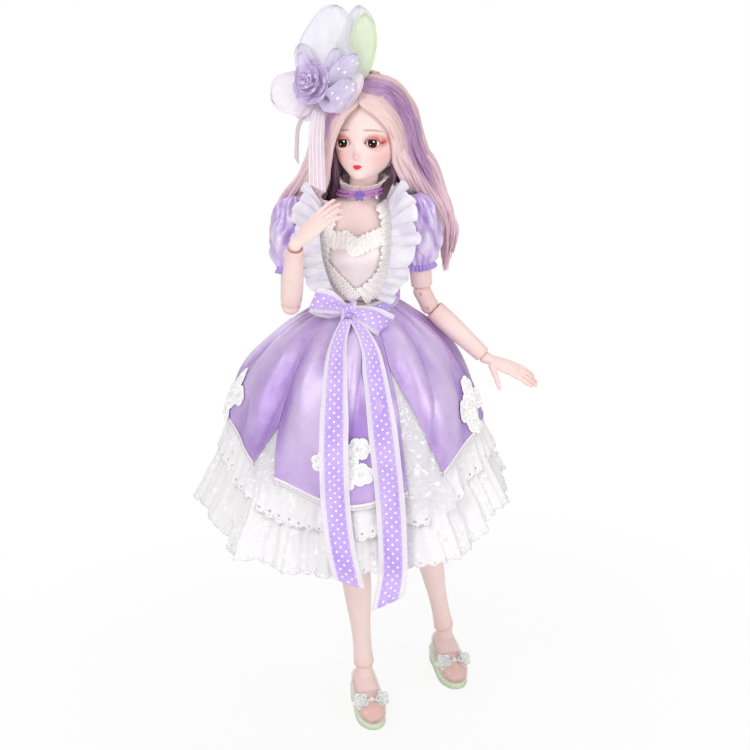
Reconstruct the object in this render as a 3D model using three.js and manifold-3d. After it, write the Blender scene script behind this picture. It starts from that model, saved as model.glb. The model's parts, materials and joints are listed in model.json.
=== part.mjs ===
// Ball-jointed fashion doll in a satin and lace dress, about one third of life size.
// The doll faces -Y, +X is its left-hand side, +Z is up and the shoe soles stand on z = 0.
import * as THREE from "three";
import { mergeVertices } from "three/addons/utils/BufferGeometryUtils.js";
import Module from "manifold-3d";

const wasm = await Module();
wasm.setup();

// Driving dimensions in millimetres.
const GAP = 0.3;                 // running gap between pieces that fit each other
const BODY_X = 2;                // middle of the trunk
const HIP_Z = 335;               // height of the hip balls
const HIP_SPREAD = 29;           // hip ball from the middle of the trunk
const WAIST_Z = 426;             // height of the seam the chest turns on
const WAIST_SEAM = 1.2;          // open height of that seam
const SHOULDER_Z = 503;          // height of the shoulder balls
const SHOULDER_SPREAD = 55;      // shoulder ball from the middle of the trunk
const NECK_Z = 512;              // height of the ball at the foot of the neck
const NECK_X = 5;                // middle of the neck
const HEAD_RISE = 38;            // ball at the top of the neck above the one at its foot, along the neck
const NECK_LEAN = 15;            // degrees the neck leans to the doll's left
const FACE_TURN = -15;           // degrees the face is turned to the doll's right
const UPPER_ARM = 79;            // shoulder ball to the upper elbow ball
const ELBOW_LINK = 15;           // distance between the two elbow balls
const FOREARM = 73;              // lower elbow ball to the wrist ball
const THIGH = 137;               // hip ball to the upper knee ball
const KNEE_LINK = 22;            // distance between the two knee balls
const SHIN = 140;                // lower knee ball to the ankle ball
const ANKLE_Z = 46;              // height of the ankle balls
const SHOULDER_BALL = 11;
const ELBOW_BALL = 8.5;
const WRIST_BALL = 5.9;
const HIP_BALL = 14;
const KNEE_BALL = 11.5;
const ANKLE_BALL = 8.5;
const NECK_BALL = 11.5;
const HEAD_BALL = 11.5;
const HUB_RADIUS = 18;           // spool that the waist turns on
const SHOULDER_PEG = 4;
const HIP_PEG = 5;
const STEM = 1.8;                // stem of the wrist and ankle pegs
const PIN = 1.5;                 // cross pin of those pegs
const EYE_RADIUS = 8;
const FINE = 0.05;               // smallest detail kept when solids are joined or cut
const CLOTH = 1.5;               // thickness the dress cloth is given
const SKIRT_FLARE = 94;          // how far the bell skirt stands out from the waist at the sides
const SKIRT_DEPTH = 78;          // how far it stands out to the front and back
const SKIRT_EASE = 50;           // height in which most of that flare is reached
const BELL_TOP = 416;            // height where the bell starts under the sash
const SKIRT_DRIFT = -9;          // sideways lean of the hem
const SKIRT_FOLDS = 9;           // main folds round the skirt
const SOLE_TOE = 7;              // sole thickness under the toes
const SOLE_HEEL = 17;            // sole thickness under the heel
const SOLE_BACK = 29;            // sole behind the ankle
const SOLE_FRONT = 50;           // sole in front of the ankle

const COLOURS = {
  skin: [0xf2d6c8, 0.55, 0],
  pin: [0xd9d2c8, 0.5, 0],
  eye: [0x3a2418, 0.2, 0],
  hair: [0xdab6b4, 0.5, 0],
  satin: [0xb79ae0, 0.35, 0],
  cream: [0xe9dcea, 0.5, 0],
  lace: [0xf6f2f4, 0.8, 0],
  mesh: [0xf0e0dd, 0.7, 0],
  frill: [0xece6f4, 0.6, 0],
  ribbon: [0xb9a2e2, 0.45, 0],
  organza: [0xeeedf2, 0.4, 0],
  leaf: [0xc8e68c, 0.5, 0],
  rose: [0x9c7fcf, 0.5, 0],
  cord: [0xb267c8, 0.5, 0],
  sole: [0xc4ddb0, 0.45, 0],
  shoe: [0xf4c0bc, 0.25, 0],
};
const materials = {};
for (const [name, [color, roughness, metalness]] of Object.entries(COLOURS)) {
  materials[name] = new THREE.MeshStandardMaterial({ name, color, roughness, metalness });
}

const doll = new THREE.Group();
doll.name = "doll";

const vec = (x, y, z) => new THREE.Vector3(x, y, z);
const rad = THREE.MathUtils.degToRad;
const sin = Math.sin;
const cos = Math.cos;

function piece(name, geometry, material, parent) {
  const mesh = new THREE.Mesh(geometry, materials[material]);
  mesh.name = name;
  parent.add(mesh);
  return mesh;
}

// Frame with -Z along a bone and X along the hinge.
function frame(origin, heading, side) {
  const z = heading.clone().normalize().negate();
  const x = side.clone().addScaledVector(z, -side.dot(z)).normalize();
  const y = z.clone().cross(x);
  const group = new THREE.Group();
  group.position.copy(origin);
  group.quaternion.setFromRotationMatrix(new THREE.Matrix4().makeBasis(x, y, z));
  group.updateMatrix();
  doll.add(group);
  return group;
}

// Geometry given in the doll's frame, brought into the frame of a group.
function into(group, geometry) {
  return geometry.applyMatrix4(group.matrix.clone().invert());
}

function solidOf(geometry) {
  const plain = geometry.clone();
  plain.deleteAttribute("normal");
  plain.deleteAttribute("uv");
  const merged = mergeVertices(plain, 1e-4);
  return new wasm.Manifold(new wasm.Mesh({
    numProp: 3,
    vertProperties: Float32Array.from(merged.attributes.position.array),
    triVerts: Uint32Array.from(merged.index.array),
  }));
}

function geometryOf(solid) {
  const mesh = solid.simplify(FINE).getMesh();
  const geometry = new THREE.BufferGeometry();
  geometry.setAttribute("position", new THREE.BufferAttribute(Float32Array.from(mesh.vertProperties), 3));
  geometry.setIndex(new THREE.BufferAttribute(Uint32Array.from(mesh.triVerts), 1));
  geometry.computeVertexNormals();
  return geometry;
}

function join(first, ...others) {
  return geometryOf(others.reduce((sum, other) => sum.add(solidOf(other)), solidOf(first)));
}

function cut(body, ...tools) {
  return geometryOf(tools.reduce((rest, tool) => rest.subtract(solidOf(tool)), solidOf(body)));
}

// Closed solid skinned over rows of points: fans close the ends, or the rows run round to the first.
function skin(rows, looped = false) {
  const count = rows[0].length;
  const points = rows.flat();
  const faces = [];
  const spans = looped ? rows.length : rows.length - 1;
  for (let row = 0; row < spans; row++) {
    const above = row * count;
    const below = ((row + 1) % rows.length) * count;
    for (let i = 0; i < count; i++) {
      const next = (i + 1) % count;
      faces.push(above + i, below + i, below + next, above + i, below + next, above + next);
    }
  }
  if (!looped) {
    const last = (rows.length - 1) * count;
    const middle = (row) => row.reduce((sum, p) => sum.add(p), vec(0, 0, 0)).divideScalar(count);
    points.push(middle(rows[0]), middle(rows[rows.length - 1]));
    for (let i = 0; i < count; i++) {
      const next = (i + 1) % count;
      faces.push(points.length - 2, i, next, points.length - 1, last + next, last + i);
    }
  }
  let volume = 0;
  for (let f = 0; f < faces.length; f += 3) {
    const [a, b, c] = [points[faces[f]], points[faces[f + 1]], points[faces[f + 2]]];
    volume += a.dot(b.clone().cross(c));
  }
  if (volume < 0) {
    faces.reverse();
  }
  const geometry = new THREE.BufferGeometry();
  const flat = points.flatMap((p) => [p.x, p.y, p.z]);
  geometry.setAttribute("position", new THREE.Float32BufferAttribute(flat, 3));
  geometry.setIndex(faces);
  geometry.computeVertexNormals();
  return geometry;
}

// Row of an oval level section: half width, then how far it reaches to the front and to the back.
// Crowding gathers its points towards the front.
function oval(z, width, front, back, sides, x = 0, crowd = 0) {
  const row = [];
  for (let i = 0; i < sides; i++) {
    const step = (2 * Math.PI * i) / sides;
    const turn = step - crowd * sin(step);
    row.push(vec(x + width * sin(turn), -(cos(turn) > 0 ? front : back) * cos(turn), z));
  }
  return row;
}

// Round solid turned about Z from [radius, z] pairs.
function turned(profile, sides) {
  return skin(profile.map(([radius, z]) => oval(z, radius, radius, radius, sides)));
}

// Fewest even facets that keep a turned spool's flats within its running gap.
function facets(radius) {
  let count = 10;
  while (radius * (1 - cos(Math.PI / count)) > 0.97 * GAP) {
    count += 2;
  }
  return count;
}

const ball = (radius) => new THREE.IcosahedronGeometry(radius, radius < 7 ? 1 : 2);

// Hollow for a ball: large enough that the ball clears its flats whichever way it turns.
function cup(radius) {
  const hollow = ball(radius);
  const corner = hollow.attributes.position;
  let least = radius;
  for (let i = 0; i < corner.count; i += 3) {
    const [a, b, c] = [0, 1, 2].map((k) => vec(corner.getX(i + k), corner.getY(i + k), corner.getZ(i + k)));
    const normal = b.sub(a).cross(c.sub(a)).normalize();
    least = Math.min(least, Math.abs(normal.dot(a)));
  }
  const size = (radius + GAP / 3) / least;
  return hollow.scale(size, size, size);
}

function rod(radius, from, to, sides = 10) {
  const line = to.clone().sub(from);
  const geometry = new THREE.CylinderGeometry(radius, radius, line.length(), sides);
  geometry.applyQuaternion(new THREE.Quaternion().setFromUnitVectors(vec(0, 1, 0), line.normalize()));
  const middle = from.clone().add(to).multiplyScalar(0.5);
  return geometry.translate(middle.x, middle.y, middle.z);
}

function block(x0, x1, y0, y1, z0, z1) {
  const geometry = new THREE.BoxGeometry(x1 - x0, y1 - y0, z1 - z0);
  return geometry.translate((x0 + x1) / 2, (y0 + y1) / 2, (z0 + z1) / 2);
}

function egg(radiusX, radiusY, radiusZ, x, y, z, count = 10) {
  return new THREE.SphereGeometry(1, count, Math.round(count * 0.6))
    .scale(radiusX, radiusY, radiusZ)
    .translate(x, y, z);
}

// Section of a profile table [z, ...sizes] at any height between its rows.
function sectionAt(profile, z) {
  for (let i = 0; i < profile.length - 1; i++) {
    const [a, b] = [profile[i], profile[i + 1]];
    if (z >= Math.min(a[0], b[0]) && z <= Math.max(a[0], b[0])) {
      const t = (z - a[0]) / (b[0] - a[0]);
      return a.map((value, k) => (k ? value + (b[k] - value) * t : z));
    }
  }
  return profile[z > profile[0][0] ? 0 : profile.length - 1];
}

// Trunk: half width, reach to the front and reach to the back at each height.
const TRUNK_SIDES = 16;
const CHEST_LOW = WAIST_Z + WAIST_SEAM / 2;
const PELVIS_HIGH = WAIST_Z - WAIST_SEAM / 2;
const WAIST = [35, 29, 27];
const CHEST = [
  [CHEST_LOW, WAIST[0], WAIST[1], WAIST[2]],
  [WAIST_Z + 14, 35, 30, 28],
  [WAIST_Z + 29, 36.5, 35, 29],
  [WAIST_Z + 42, 38.5, 40, 30],
  [WAIST_Z + 54, 38.5, 37, 30],
  [WAIST_Z + 66, 37, 30, 27],
  [WAIST_Z + 77, 33.5, 23, 23],
  [NECK_Z - 1, 25, 18, 19],
  [NECK_Z + 4, 17, 15, 15],
];
const PELVIS = [
  [PELVIS_HIGH, WAIST[0], WAIST[1], WAIST[2]],
  [BELL_TOP - 4, WAIST[0], WAIST[1], WAIST[2]],
  [HIP_Z + 45, 44, 32, 36],
  [HIP_Z + 20, 48, 33, 39],
  [HIP_Z, 48, 32, 38],
  [HIP_Z - 17, 38, 27, 33],
  [HIP_Z - 25, 22, 19, 25],
];
const trunkRow = ([z, width, front, back], grow = 0) =>
  oval(z, width + grow, front + grow, back + grow, TRUNK_SIDES, BODY_X);
const shoulderAt = (side) => vec(BODY_X + side * SHOULDER_SPREAD, 0, SHOULDER_Z);
const hipAt = (side) => vec(BODY_X + side * HIP_SPREAD, 0, HIP_Z);
const SIDES = { r: -1, l: 1 };
const ARM_RIM = 12.2;            // outer radius of the upper arm round its ball
const ARMHOLE = ARM_RIM + 2.5;   // space cut round the shoulder for the arm to turn in
const PEG_DEPTH = 27;            // shoulder peg from the middle of its ball
const HIP_DEPTH = 26;            // hip peg from the middle of its ball
const HIP_RIM = 17;              // outer radius of the thigh round its ball

const neckFrame = new THREE.Group();
neckFrame.position.set(NECK_X, 0, NECK_Z);
neckFrame.rotation.y = rad(NECK_LEAN);
neckFrame.updateMatrix();
doll.add(neckFrame);
const headFrame = new THREE.Group();
headFrame.position.copy(vec(0, 0, HEAD_RISE).applyMatrix4(neckFrame.matrix));
headFrame.rotation.z = rad(FACE_TURN);
headFrame.updateMatrix();
doll.add(headFrame);

const HUB_SIDES = facets(HUB_RADIUS);
const hubWay = (low, high) =>
  turned([[HUB_RADIUS + GAP, low], [HUB_RADIUS + GAP, high]], HUB_SIDES).translate(BODY_X, 0, 0);
const chestTools = [
  hubWay(WAIST_Z - 5, WAIST_Z + 24),
  egg(33, 24, 29, BODY_X, 0, WAIST_Z + 39),
  cup(NECK_BALL).translate(NECK_X, 0, NECK_Z),
];
const pelvisTools = [
  hubWay(WAIST_Z - 40, WAIST_Z + 5),
  egg(34, 25, 32, BODY_X, 2, HIP_Z + 51),
];
for (const side of Object.values(SIDES)) {
  const shoulder = shoulderAt(side);
  const deepest = shoulder.clone().add(vec(-side * (PEG_DEPTH + GAP), 0, 0));
  chestTools.push(new THREE.SphereGeometry(ARMHOLE, 12, 8).translate(...shoulder.toArray()));
  chestTools.push(rod(SHOULDER_PEG + GAP, deepest, shoulder));
  const hip = hipAt(side);
  const sweep = turned([[HIP_RIM + 3, 8], [HIP_RIM + 11, 0], [HIP_RIM + 19, -12], [52, -32], [85, -70]], 10);
  pelvisTools.push(new THREE.SphereGeometry(HIP_RIM + 3, 12, 8).translate(...hip.toArray()));
  pelvisTools.push(sweep.translate(...hip.toArray()));
  pelvisTools.push(rod(HIP_PEG + GAP, hip.clone().add(vec(-side * (HIP_DEPTH + GAP), 0, 0)), hip));
}
piece("chest", cut(skin(CHEST.map((ring) => trunkRow(ring))), ...chestTools), "skin", doll);
piece("pelvis", cut(skin(PELVIS.map((ring) => trunkRow(ring))), ...pelvisTools), "skin", doll);
const hub = cut(
  turned([[HUB_RADIUS, WAIST_Z - 26], [HUB_RADIUS, WAIST_Z + 20]], HUB_SIDES),
  turned([[HUB_RADIUS - 5, WAIST_Z - 30], [HUB_RADIUS - 5, WAIST_Z + 25]], HUB_SIDES),
);
piece("waist_hub", hub.translate(BODY_X, 0, 0), "pin", doll);

// Neck: a ball in the chest, a column and a ball in the head.
const NECK_COLUMN = [[9, 8.5], [12, 13], [13, HEAD_RISE - 9], [10, HEAD_RISE - 5]];
const columnSolid = (grow) => turned(NECK_COLUMN.map(([radius, z]) => [radius + grow, z]), 12);
const neckSolid = join(columnSolid(0), ball(NECK_BALL), ball(HEAD_BALL).translate(0, 0, HEAD_RISE));
piece("neck", neckSolid, "skin", neckFrame);

// Head: level sections from the crown to the chin, with the nose and lips raised on the front.
const HEAD_SIDES = 20;
const HEAD = [
  [73, 5, 5, 6],
  [69, 16, 17, 19],
  [59, 25, 27, 30],
  [46, 29.5, 33, 35],
  [31, 30.5, 35, 36],
  [18, 29.3, 35.1, 32],
  [9, 27, 35.4, 27],
  [1, 22.5, 35.6, 20],
  [-5, 17, 35.2, 13],
  [-9.5, 11, 33.5, 7],
  [-11.5, 6, 29, 3],
];
const FEATURES = [
  [0, 12, 3.2, 4.6, 6],          // nose: side, height, half width, half height, rise
  [0, 2.5, 5.5, 2.6, 1.6],       // lips
  [0, -8, 5, 3.5, 1.5],          // chin
];
function headRow([z, width, front, back], grow = 0, featured = false) {
  const row = oval(z, width + grow, front + grow, back + grow, HEAD_SIDES, 0, 0.5);
  if (featured) {
    for (const point of row.filter((p) => p.y < -20)) {
      for (const [x, height, wide, tall, rise] of FEATURES) {
        point.y -= rise * Math.exp(-(((point.x - x) / wide) ** 2) - ((z - height) / tall) ** 2);
      }
    }
  }
  return row;
}
const EYE_X = 13.7;
const EYE_Y = -24.8;
const EYE_UP = 22.5;
const CAP_Z = 52;                // seam between the head and its cap
const headSkin = skin(HEAD.map((ring) => headRow(ring, 0, true)));
const skull = egg(25, 28, 34, 0, 1, 33);
const columnWay = columnSolid(2 * GAP)
  .translate(0, 0, -HEAD_RISE)
  .rotateY(rad(NECK_LEAN))
  .rotateZ(rad(-FACE_TURN));
const neckWay = [cup(HEAD_BALL), columnWay];
const sockets = Object.values(SIDES).map((side) => cup(EYE_RADIUS).translate(side * EYE_X, EYE_Y, EYE_UP));
const over = block(-60, 60, -60, 60, CAP_Z, 120);
const under = block(-60, 60, -60, 60, -60, CAP_Z + GAP);
piece("head_shell", cut(headSkin, skull, ...neckWay, over, ...sockets), "skin", headFrame);
piece("head_cap", cut(headSkin, skull, under), "skin", headFrame);
for (const [key, side] of Object.entries(SIDES)) {
  piece(`eye_${key}`, ball(EYE_RADIUS).translate(side * EYE_X, EYE_Y, EYE_UP), "eye", headFrame);
}

// Wig: a crown over the skull with the face left open, then two lengths falling down the back.
const WIG = 5;                   // depth of hair on the crown
const WIG_LOW = 1;               // lower edge of the crown at the nape
const wigRing = ([z, width, front, back], grow) =>
  headRow([z + grow * (z > 45 ? 1 : 0), width, front, back], grow);
const wigOuter = (grow) => skin(HEAD.map((ring) => wigRing(ring, WIG + grow)));
const faceOpening = egg(30, 62, 43, 0, -62, 18, 14);
const crown = cut(
  wigOuter(0),
  skin(HEAD.map((ring) => wigRing(ring, GAP + 0.1))),
  faceOpening,
  block(-80, 80, -80, 80, -80, WIG_LOW),
);
piece("wig_crown", crown, "hair", headFrame);
const HAIR_SPLIT = NECK_Z - 24;  // height where the two lengths of hair meet
// Rows of the lengths: height, middle x, half width, middle y and half depth.
const HAIR = [
  [headFrame.position.z + WIG_LOW - GAP, 15, 33, 33, 9],
  [NECK_Z + 20, 14, 46, 36, 9],
  [NECK_Z - 7, 13, 62, 42, 9],
  [HAIR_SPLIT, 13, 73, 46, 9],
  [HAIR_SPLIT - 28, 15, 92, 48, 9],
  [HAIR_SPLIT - 48, 19, 86, 48, 9],
  [HAIR_SPLIT - 66, 30, 58, 49, 7],
];
function hairRow([z, x, width, y, depth]) {
  const row = oval(z, width, depth, depth, 22, x);
  for (const point of row) {
    point.y += y + 2.5 * sin((point.x - x) / 7 + z / 30) - 0.0022 * (point.x - x) ** 2;
  }
  return row;
}
const upperHair = skin(HAIR.filter(([z]) => z >= HAIR_SPLIT).map(hairRow));
const lowerHair = skin(HAIR.filter(([z]) => z <= HAIR_SPLIT).map(hairRow)).translate(0, 0, -GAP);
piece("wig_lengths_upper", upperHair, "hair", doll);
piece("wig_lengths_lower", lowerHair, "hair", doll);

// Hat: a base clipped on the crown that carries a rose, petals, a leaf and a hanging ribbon.
const HAT_BASE = 13;             // radius of the base
const hatHeading = vec(-0.497, -0.578, 0.647).normalize();
const hatFrame = new THREE.Group();
hatFrame.position.copy(hatHeading).multiplyScalar(44).add(vec(0, 1, 33));
hatFrame.quaternion.setFromUnitVectors(vec(0, 0, 1), hatHeading);
hatFrame.updateMatrix();
headFrame.add(hatFrame);
const wigInHat = into(hatFrame, wigOuter(GAP));
piece("hat_base", cut(turned([[HAT_BASE, -8], [HAT_BASE, 2]], 10), wigInHat), "organza", hatFrame);
const ROSE = [[8.5, 2 + GAP], [9, 10], [16, 15.5], [19.5, 21], [16, 27], [7, 31]];
const roseRows = ROSE.map(([radius, z], level) => {
  const row = oval(z, radius, radius, radius, 15);
  row.forEach((point, i) => {
    const turn = (2 * Math.PI * i) / 15;
    const scale = 1 + 0.1 * cos(5 * turn + level * 1.3) * Math.min(1, level / 2);
    point.x *= scale;
    point.y *= scale;
  });
  return row;
});
piece("hat_rose", skin(roseRows), "rose", hatFrame);

// Flat petal reaching out from the hub at a turn about the hat's axis, lifted off the base.
function petal(turn, reach, width, lift, start) {
  const half = (reach - start) / 2;
  return new THREE.SphereGeometry(1, 8, 5)
    .scale(half, width / 2, 1.6)
    .translate(half - 1, 0, 0)
    .rotateY(rad(-lift))
    .translate(start, 0, 3.7)
    .rotateZ(rad(turn));
}
const petalHub = cut(
  turned([[HAT_BASE, 2 + GAP], [HAT_BASE, 5]], 10),
  turned([[10, 0], [10, 10]], 10),
);
const HAT_UP = 55;               // turn at which a petal points straight up
const petals = [
  petal(HAT_UP + 18, 80, 46, 14, 9),
  petal(HAT_UP + 62, 62, 40, 4, 9),
  petal(HAT_UP + 112, 50, 34, 4, 9),
  petal(HAT_UP + 165, 42, 32, 2, 9),
  petal(HAT_UP - 112, 42, 26, 2, 9),
];
piece("hat_petals", join(petalHub, ...petals), "organza", hatFrame);
const hubSpace = turned([[HAT_BASE + GAP, -20], [HAT_BASE + GAP, 40]], 10);
const leaf = cut(petal(HAT_UP - 46, 72, 28, 20, 13), hubSpace);
piece("hat_leaf", leaf, "leaf", hatFrame);

// Strip of ribbon along a path: half width along one direction, thickness along the other.
function strip(points, across, through, half, thick) {
  return skin(points.map((point, i) => {
    const side = across[i].clone().normalize().multiplyScalar(half[i]);
    const deep = through[i].clone().normalize().multiplyScalar(thick / 2);
    return [
      point.clone().sub(side).sub(deep),
      point.clone().add(side).sub(deep),
      point.clone().add(side).add(deep),
      point.clone().sub(side).add(deep),
    ];
  }));
}
const ribbonPath = [
  vec(-22.4, -21.3, 598.2),
  vec(-24.5, -27, 589),
  vec(-31, -38, 572),
  vec(-30, -39, 550),
  vec(-30, -40, 528),
];
const hatRibbon = into(headFrame, strip(
  ribbonPath,
  ribbonPath.map(() => vec(1, 0.1, 0)),
  [vec(0, 0.8, -1), vec(0, 1, -0.5), vec(0, 1, 0), vec(0, 1, 0), vec(0, 1, 0)],
  [4, 6, 7, 7.5, 8],
  0.8,
));
piece("hat_ribbon", cut(hatRibbon, wigOuter(GAP)), "organza", headFrame);

// Two bones and the double joint between them, bent so that the chain ends on the tip.
function bendChain(root, tip, lead, upper, link, lower) {
  const reach = tip.clone().sub(root);
  const along = reach.clone().normalize();
  const out = lead.clone().addScaledVector(along, -lead.dot(along)).normalize();
  const sum = (bend) => [
    upper + link * cos(bend / 2) + lower * cos(bend),
    link * sin(bend / 2) + lower * sin(bend),
  ];
  let [least, most] = [0, 0.85 * Math.PI];
  for (let i = 0; i < 50; i++) {
    const middle = (least + most) / 2;
    if (Math.hypot(...sum(middle)) > reach.length()) {
      least = middle;
    } else {
      most = middle;
    }
  }
  const [ahead, aside] = sum(least);
  const start = Math.atan2(aside, ahead);
  const heading = (turn) => along.clone().multiplyScalar(cos(turn)).addScaledVector(out, sin(turn));
  const headings = [heading(start), heading(start - least / 2), heading(start - least)];
  const first = root.clone().addScaledVector(headings[0], upper);
  const second = first.clone().addScaledVector(headings[1], link);
  return { headings, first, second, side: out.cross(along) };
}

// Limb turned from [z, half width, reach to the front, reach to the back].
const limb = (profile) => skin(profile.map(([z, width, front, back]) => oval(z, width, front, back, 12)));

// Dumbbell of the double joints: two balls and the bar between them.
const dumbbell = (radius, length) => join(
  ball(radius),
  ball(radius).translate(0, 0, -length),
  rod(radius * 0.62, vec(0, 0, 0), vec(0, 0, -length), 8),
);

// Stem and cross pin that carry a hand or a foot.
const crossPeg = (rise, reach) => join(
  rod(STEM, vec(0, 0, 0), vec(0, 0, rise), 8),
  rod(PIN, vec(-reach, 0, 0), vec(reach, 0, 0), 8),
);

// Slot and bore that let a hand or foot swing on its cross pin.
const pegWay = (radius, reach) => [
  block(-STEM - GAP, STEM + GAP, -2 * radius, 2 * radius, -STEM - GAP, 2 * radius),
  rod(PIN + GAP, vec(-reach - GAP, 0, 0), vec(reach + GAP, 0, 0), 8),
];

const ELBOW_RIM = 6;             // bone ends stop this far short of the elbow balls
const WRIST_RIM = 4;
const KNEE_RIM = 8;
const ANKLE_RIM = 4;
const UPPER_ARM_FORM = [
  [1, ARM_RIM, ARM_RIM, ARM_RIM],
  [-12, 12.2, 12.2, 12.2],
  [-35, 11.4, 11.8, 11.4],
  [-60, 10.2, 10.4, 10.4],
  [-UPPER_ARM + ELBOW_RIM, 9.8, 9.8, 9.8],
];
const FOREARM_FORM = [
  [-ELBOW_RIM, 9.6, 9.6, 9.6],
  [-16, 10, 10.2, 10.2],
  [-35, 9.6, 9.8, 9.8],
  [-55, 8.4, 8.4, 8.4],
  [-FOREARM + WRIST_RIM, 7.6, 7.6, 7.6],
];
const THIGH_FORM = [
  [0, HIP_RIM, HIP_RIM, HIP_RIM],
  [-12, 20.5, 20.5, 20.5],
  [-32, 23.5, 24, 24],
  [-62, 22.5, 23, 23],
  [-95, 18.5, 19, 19],
  [-118, 15.5, 16, 15.5],
  [-THIGH + KNEE_RIM, 14.4, 14.6, 14.4],
];
const SHIN_FORM = [
  [-KNEE_RIM, 13.8, 14.2, 13.8],
  [-22, 13.8, 13.8, 14.8],
  [-42, 13.6, 12.8, 16],
  [-62, 12, 11.4, 14],
  [-84, 10, 9.8, 10.8],
  [-108, 9, 9, 9.4],
  [-126, 9.4, 9.4, 9.6],
  [-SHIN + ANKLE_RIM, 10.2, 10.2, 10.2],
];
const STEM_RISE = 14;

// Finger tapering along a curve that bends towards the palm.
function finger(base, heading, length, radius, curl) {
  const rows = [];
  const side = heading.clone().cross(vec(0, 1, 0)).normalize();
  for (let step = 0; step <= 2; step++) {
    const t = step / 2;
    const way = heading.clone().applyAxisAngle(side, curl * t * 0.6);
    const point = base.clone().addScaledVector(way, length * t);
    const tangent = heading.clone().applyAxisAngle(side, curl * t);
    const normal = side.clone().cross(tangent);
    const row = [];
    for (let i = 0; i < 5; i++) {
      const turn = (2 * Math.PI * i) / 5;
      const size = radius * (1 - 0.38 * t);
      const spot = point.clone().addScaledVector(side, size * cos(turn));
      row.push(spot.addScaledVector(normal, size * sin(turn)));
    }
    rows.push(row);
  }
  return skin(rows);
}

// Hand with -Z along the fingers and +Y out of the palm; the thumb is on one side.
const PALM = [
  [-4, 5.2, 4, 4],
  [-10, 7.4, 4, 4],
  [-19, 9.6, 4.2, 4.4],
  [-28, 10.2, 3.8, 4],
  [-33, 9.4, 3.2, 3.2],
];
const FINGERS = [[7.2, 23, 0.1], [2.5, 26, 0.03], [-2.2, 25, -0.04], [-6.8, 20, -0.12]];
function handSolid(thumb) {
  const digits = FINGERS.map(([x, length, spread]) => finger(
    vec(thumb * x, 0, -30), vec(thumb * spread, 0, -1).normalize(), length, 2.6, 0.7,
  ));
  digits.push(finger(vec(thumb * 5.5, 1.5, -9), vec(thumb * 0.62, 0.35, -0.75).normalize(), 25, 3.1, 0.35));
  const whole = join(ball(WRIST_BALL), limb(PALM), ...digits);
  return cut(whole, ...pegWay(WRIST_BALL, 4));
}

// Arms: the right hand is held up to the chest, the left arm reaches out and down.
const ARM_SPARE = Math.max(0, UPPER_ARM + ELBOW_LINK + FOREARM - 167);   // arm beyond what the pose needs
const WRIST_AT = {
  r: vec(-51, -73, SHOULDER_Z - 12),
  l: shoulderAt(1).add(vec(63 + 2 * ARM_SPARE, -5, -143 - 0.6 * ARM_SPARE)),   // longer arms go further out
};
const ELBOW_LEAD = { r: vec(-0.12, 0.3, -1), l: vec(-1, 0.25, 0) };
const HAND_HEADING = { r: vec(0.74, 0.12, 0.66), l: vec(0.886, -0.317, -0.338) };
for (const [key, side] of Object.entries(SIDES)) {
  const shoulder = shoulderAt(side);
  const arm = bendChain(shoulder, WRIST_AT[key], ELBOW_LEAD[key], UPPER_ARM, ELBOW_LINK, FOREARM);
  const hinge = arm.side.negate();
  const ballFrame = new THREE.Group();
  ballFrame.position.copy(shoulder);
  doll.add(ballFrame);
  const peg = rod(SHOULDER_PEG, vec(0, 0, 0), vec(-side * PEG_DEPTH, 0, 0));
  piece(`shoulder_ball_${key}`, join(ball(SHOULDER_BALL), peg), "skin", ballFrame);

  const upperFrame = frame(shoulder, arm.headings[0], hinge);
  const pegReach = side > 0 ? [-40, 0] : [0, 40];
  const pegSlot = block(...pegReach, -SHOULDER_PEG - 1, SHOULDER_PEG + 1, -SHOULDER_PEG - 1, 40);
  const upper = cut(
    limb(UPPER_ARM_FORM),
    cup(SHOULDER_BALL),
    cup(ELBOW_BALL).translate(0, 0, -UPPER_ARM),
    into(upperFrame, pegSlot.translate(...shoulder.toArray())),
  );
  piece(`upper_arm_${key}`, upper, "skin", upperFrame);
  const linkFrame = frame(arm.first, arm.headings[1], hinge);
  piece(`elbow_link_${key}`, dumbbell(ELBOW_BALL, ELBOW_LINK), "skin", linkFrame);
  const lowerFrame = frame(arm.second, arm.headings[2], hinge);
  const lower = cut(
    limb(FOREARM_FORM),
    cup(ELBOW_BALL),
    cup(WRIST_BALL).translate(0, 0, -FOREARM),
    rod(STEM + GAP, vec(0, 0, -FOREARM), vec(0, 0, -FOREARM + STEM_RISE + GAP), 8),
  );
  piece(`forearm_${key}`, lower, "skin", lowerFrame);
  const wrist = arm.second.clone().addScaledVector(arm.headings[2], FOREARM);
  const bendAxis = arm.headings[2].clone().cross(HAND_HEADING[key]).multiplyScalar(-side);
  const pegFrame = frame(wrist, arm.headings[2], bendAxis);
  piece(`wrist_peg_${key}`, crossPeg(STEM_RISE, 4), "pin", pegFrame);
  const handFrame = frame(wrist, HAND_HEADING[key], bendAxis);
  piece(`hand_${key}`, handSolid(-side), "skin", handFrame);
}

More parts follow.
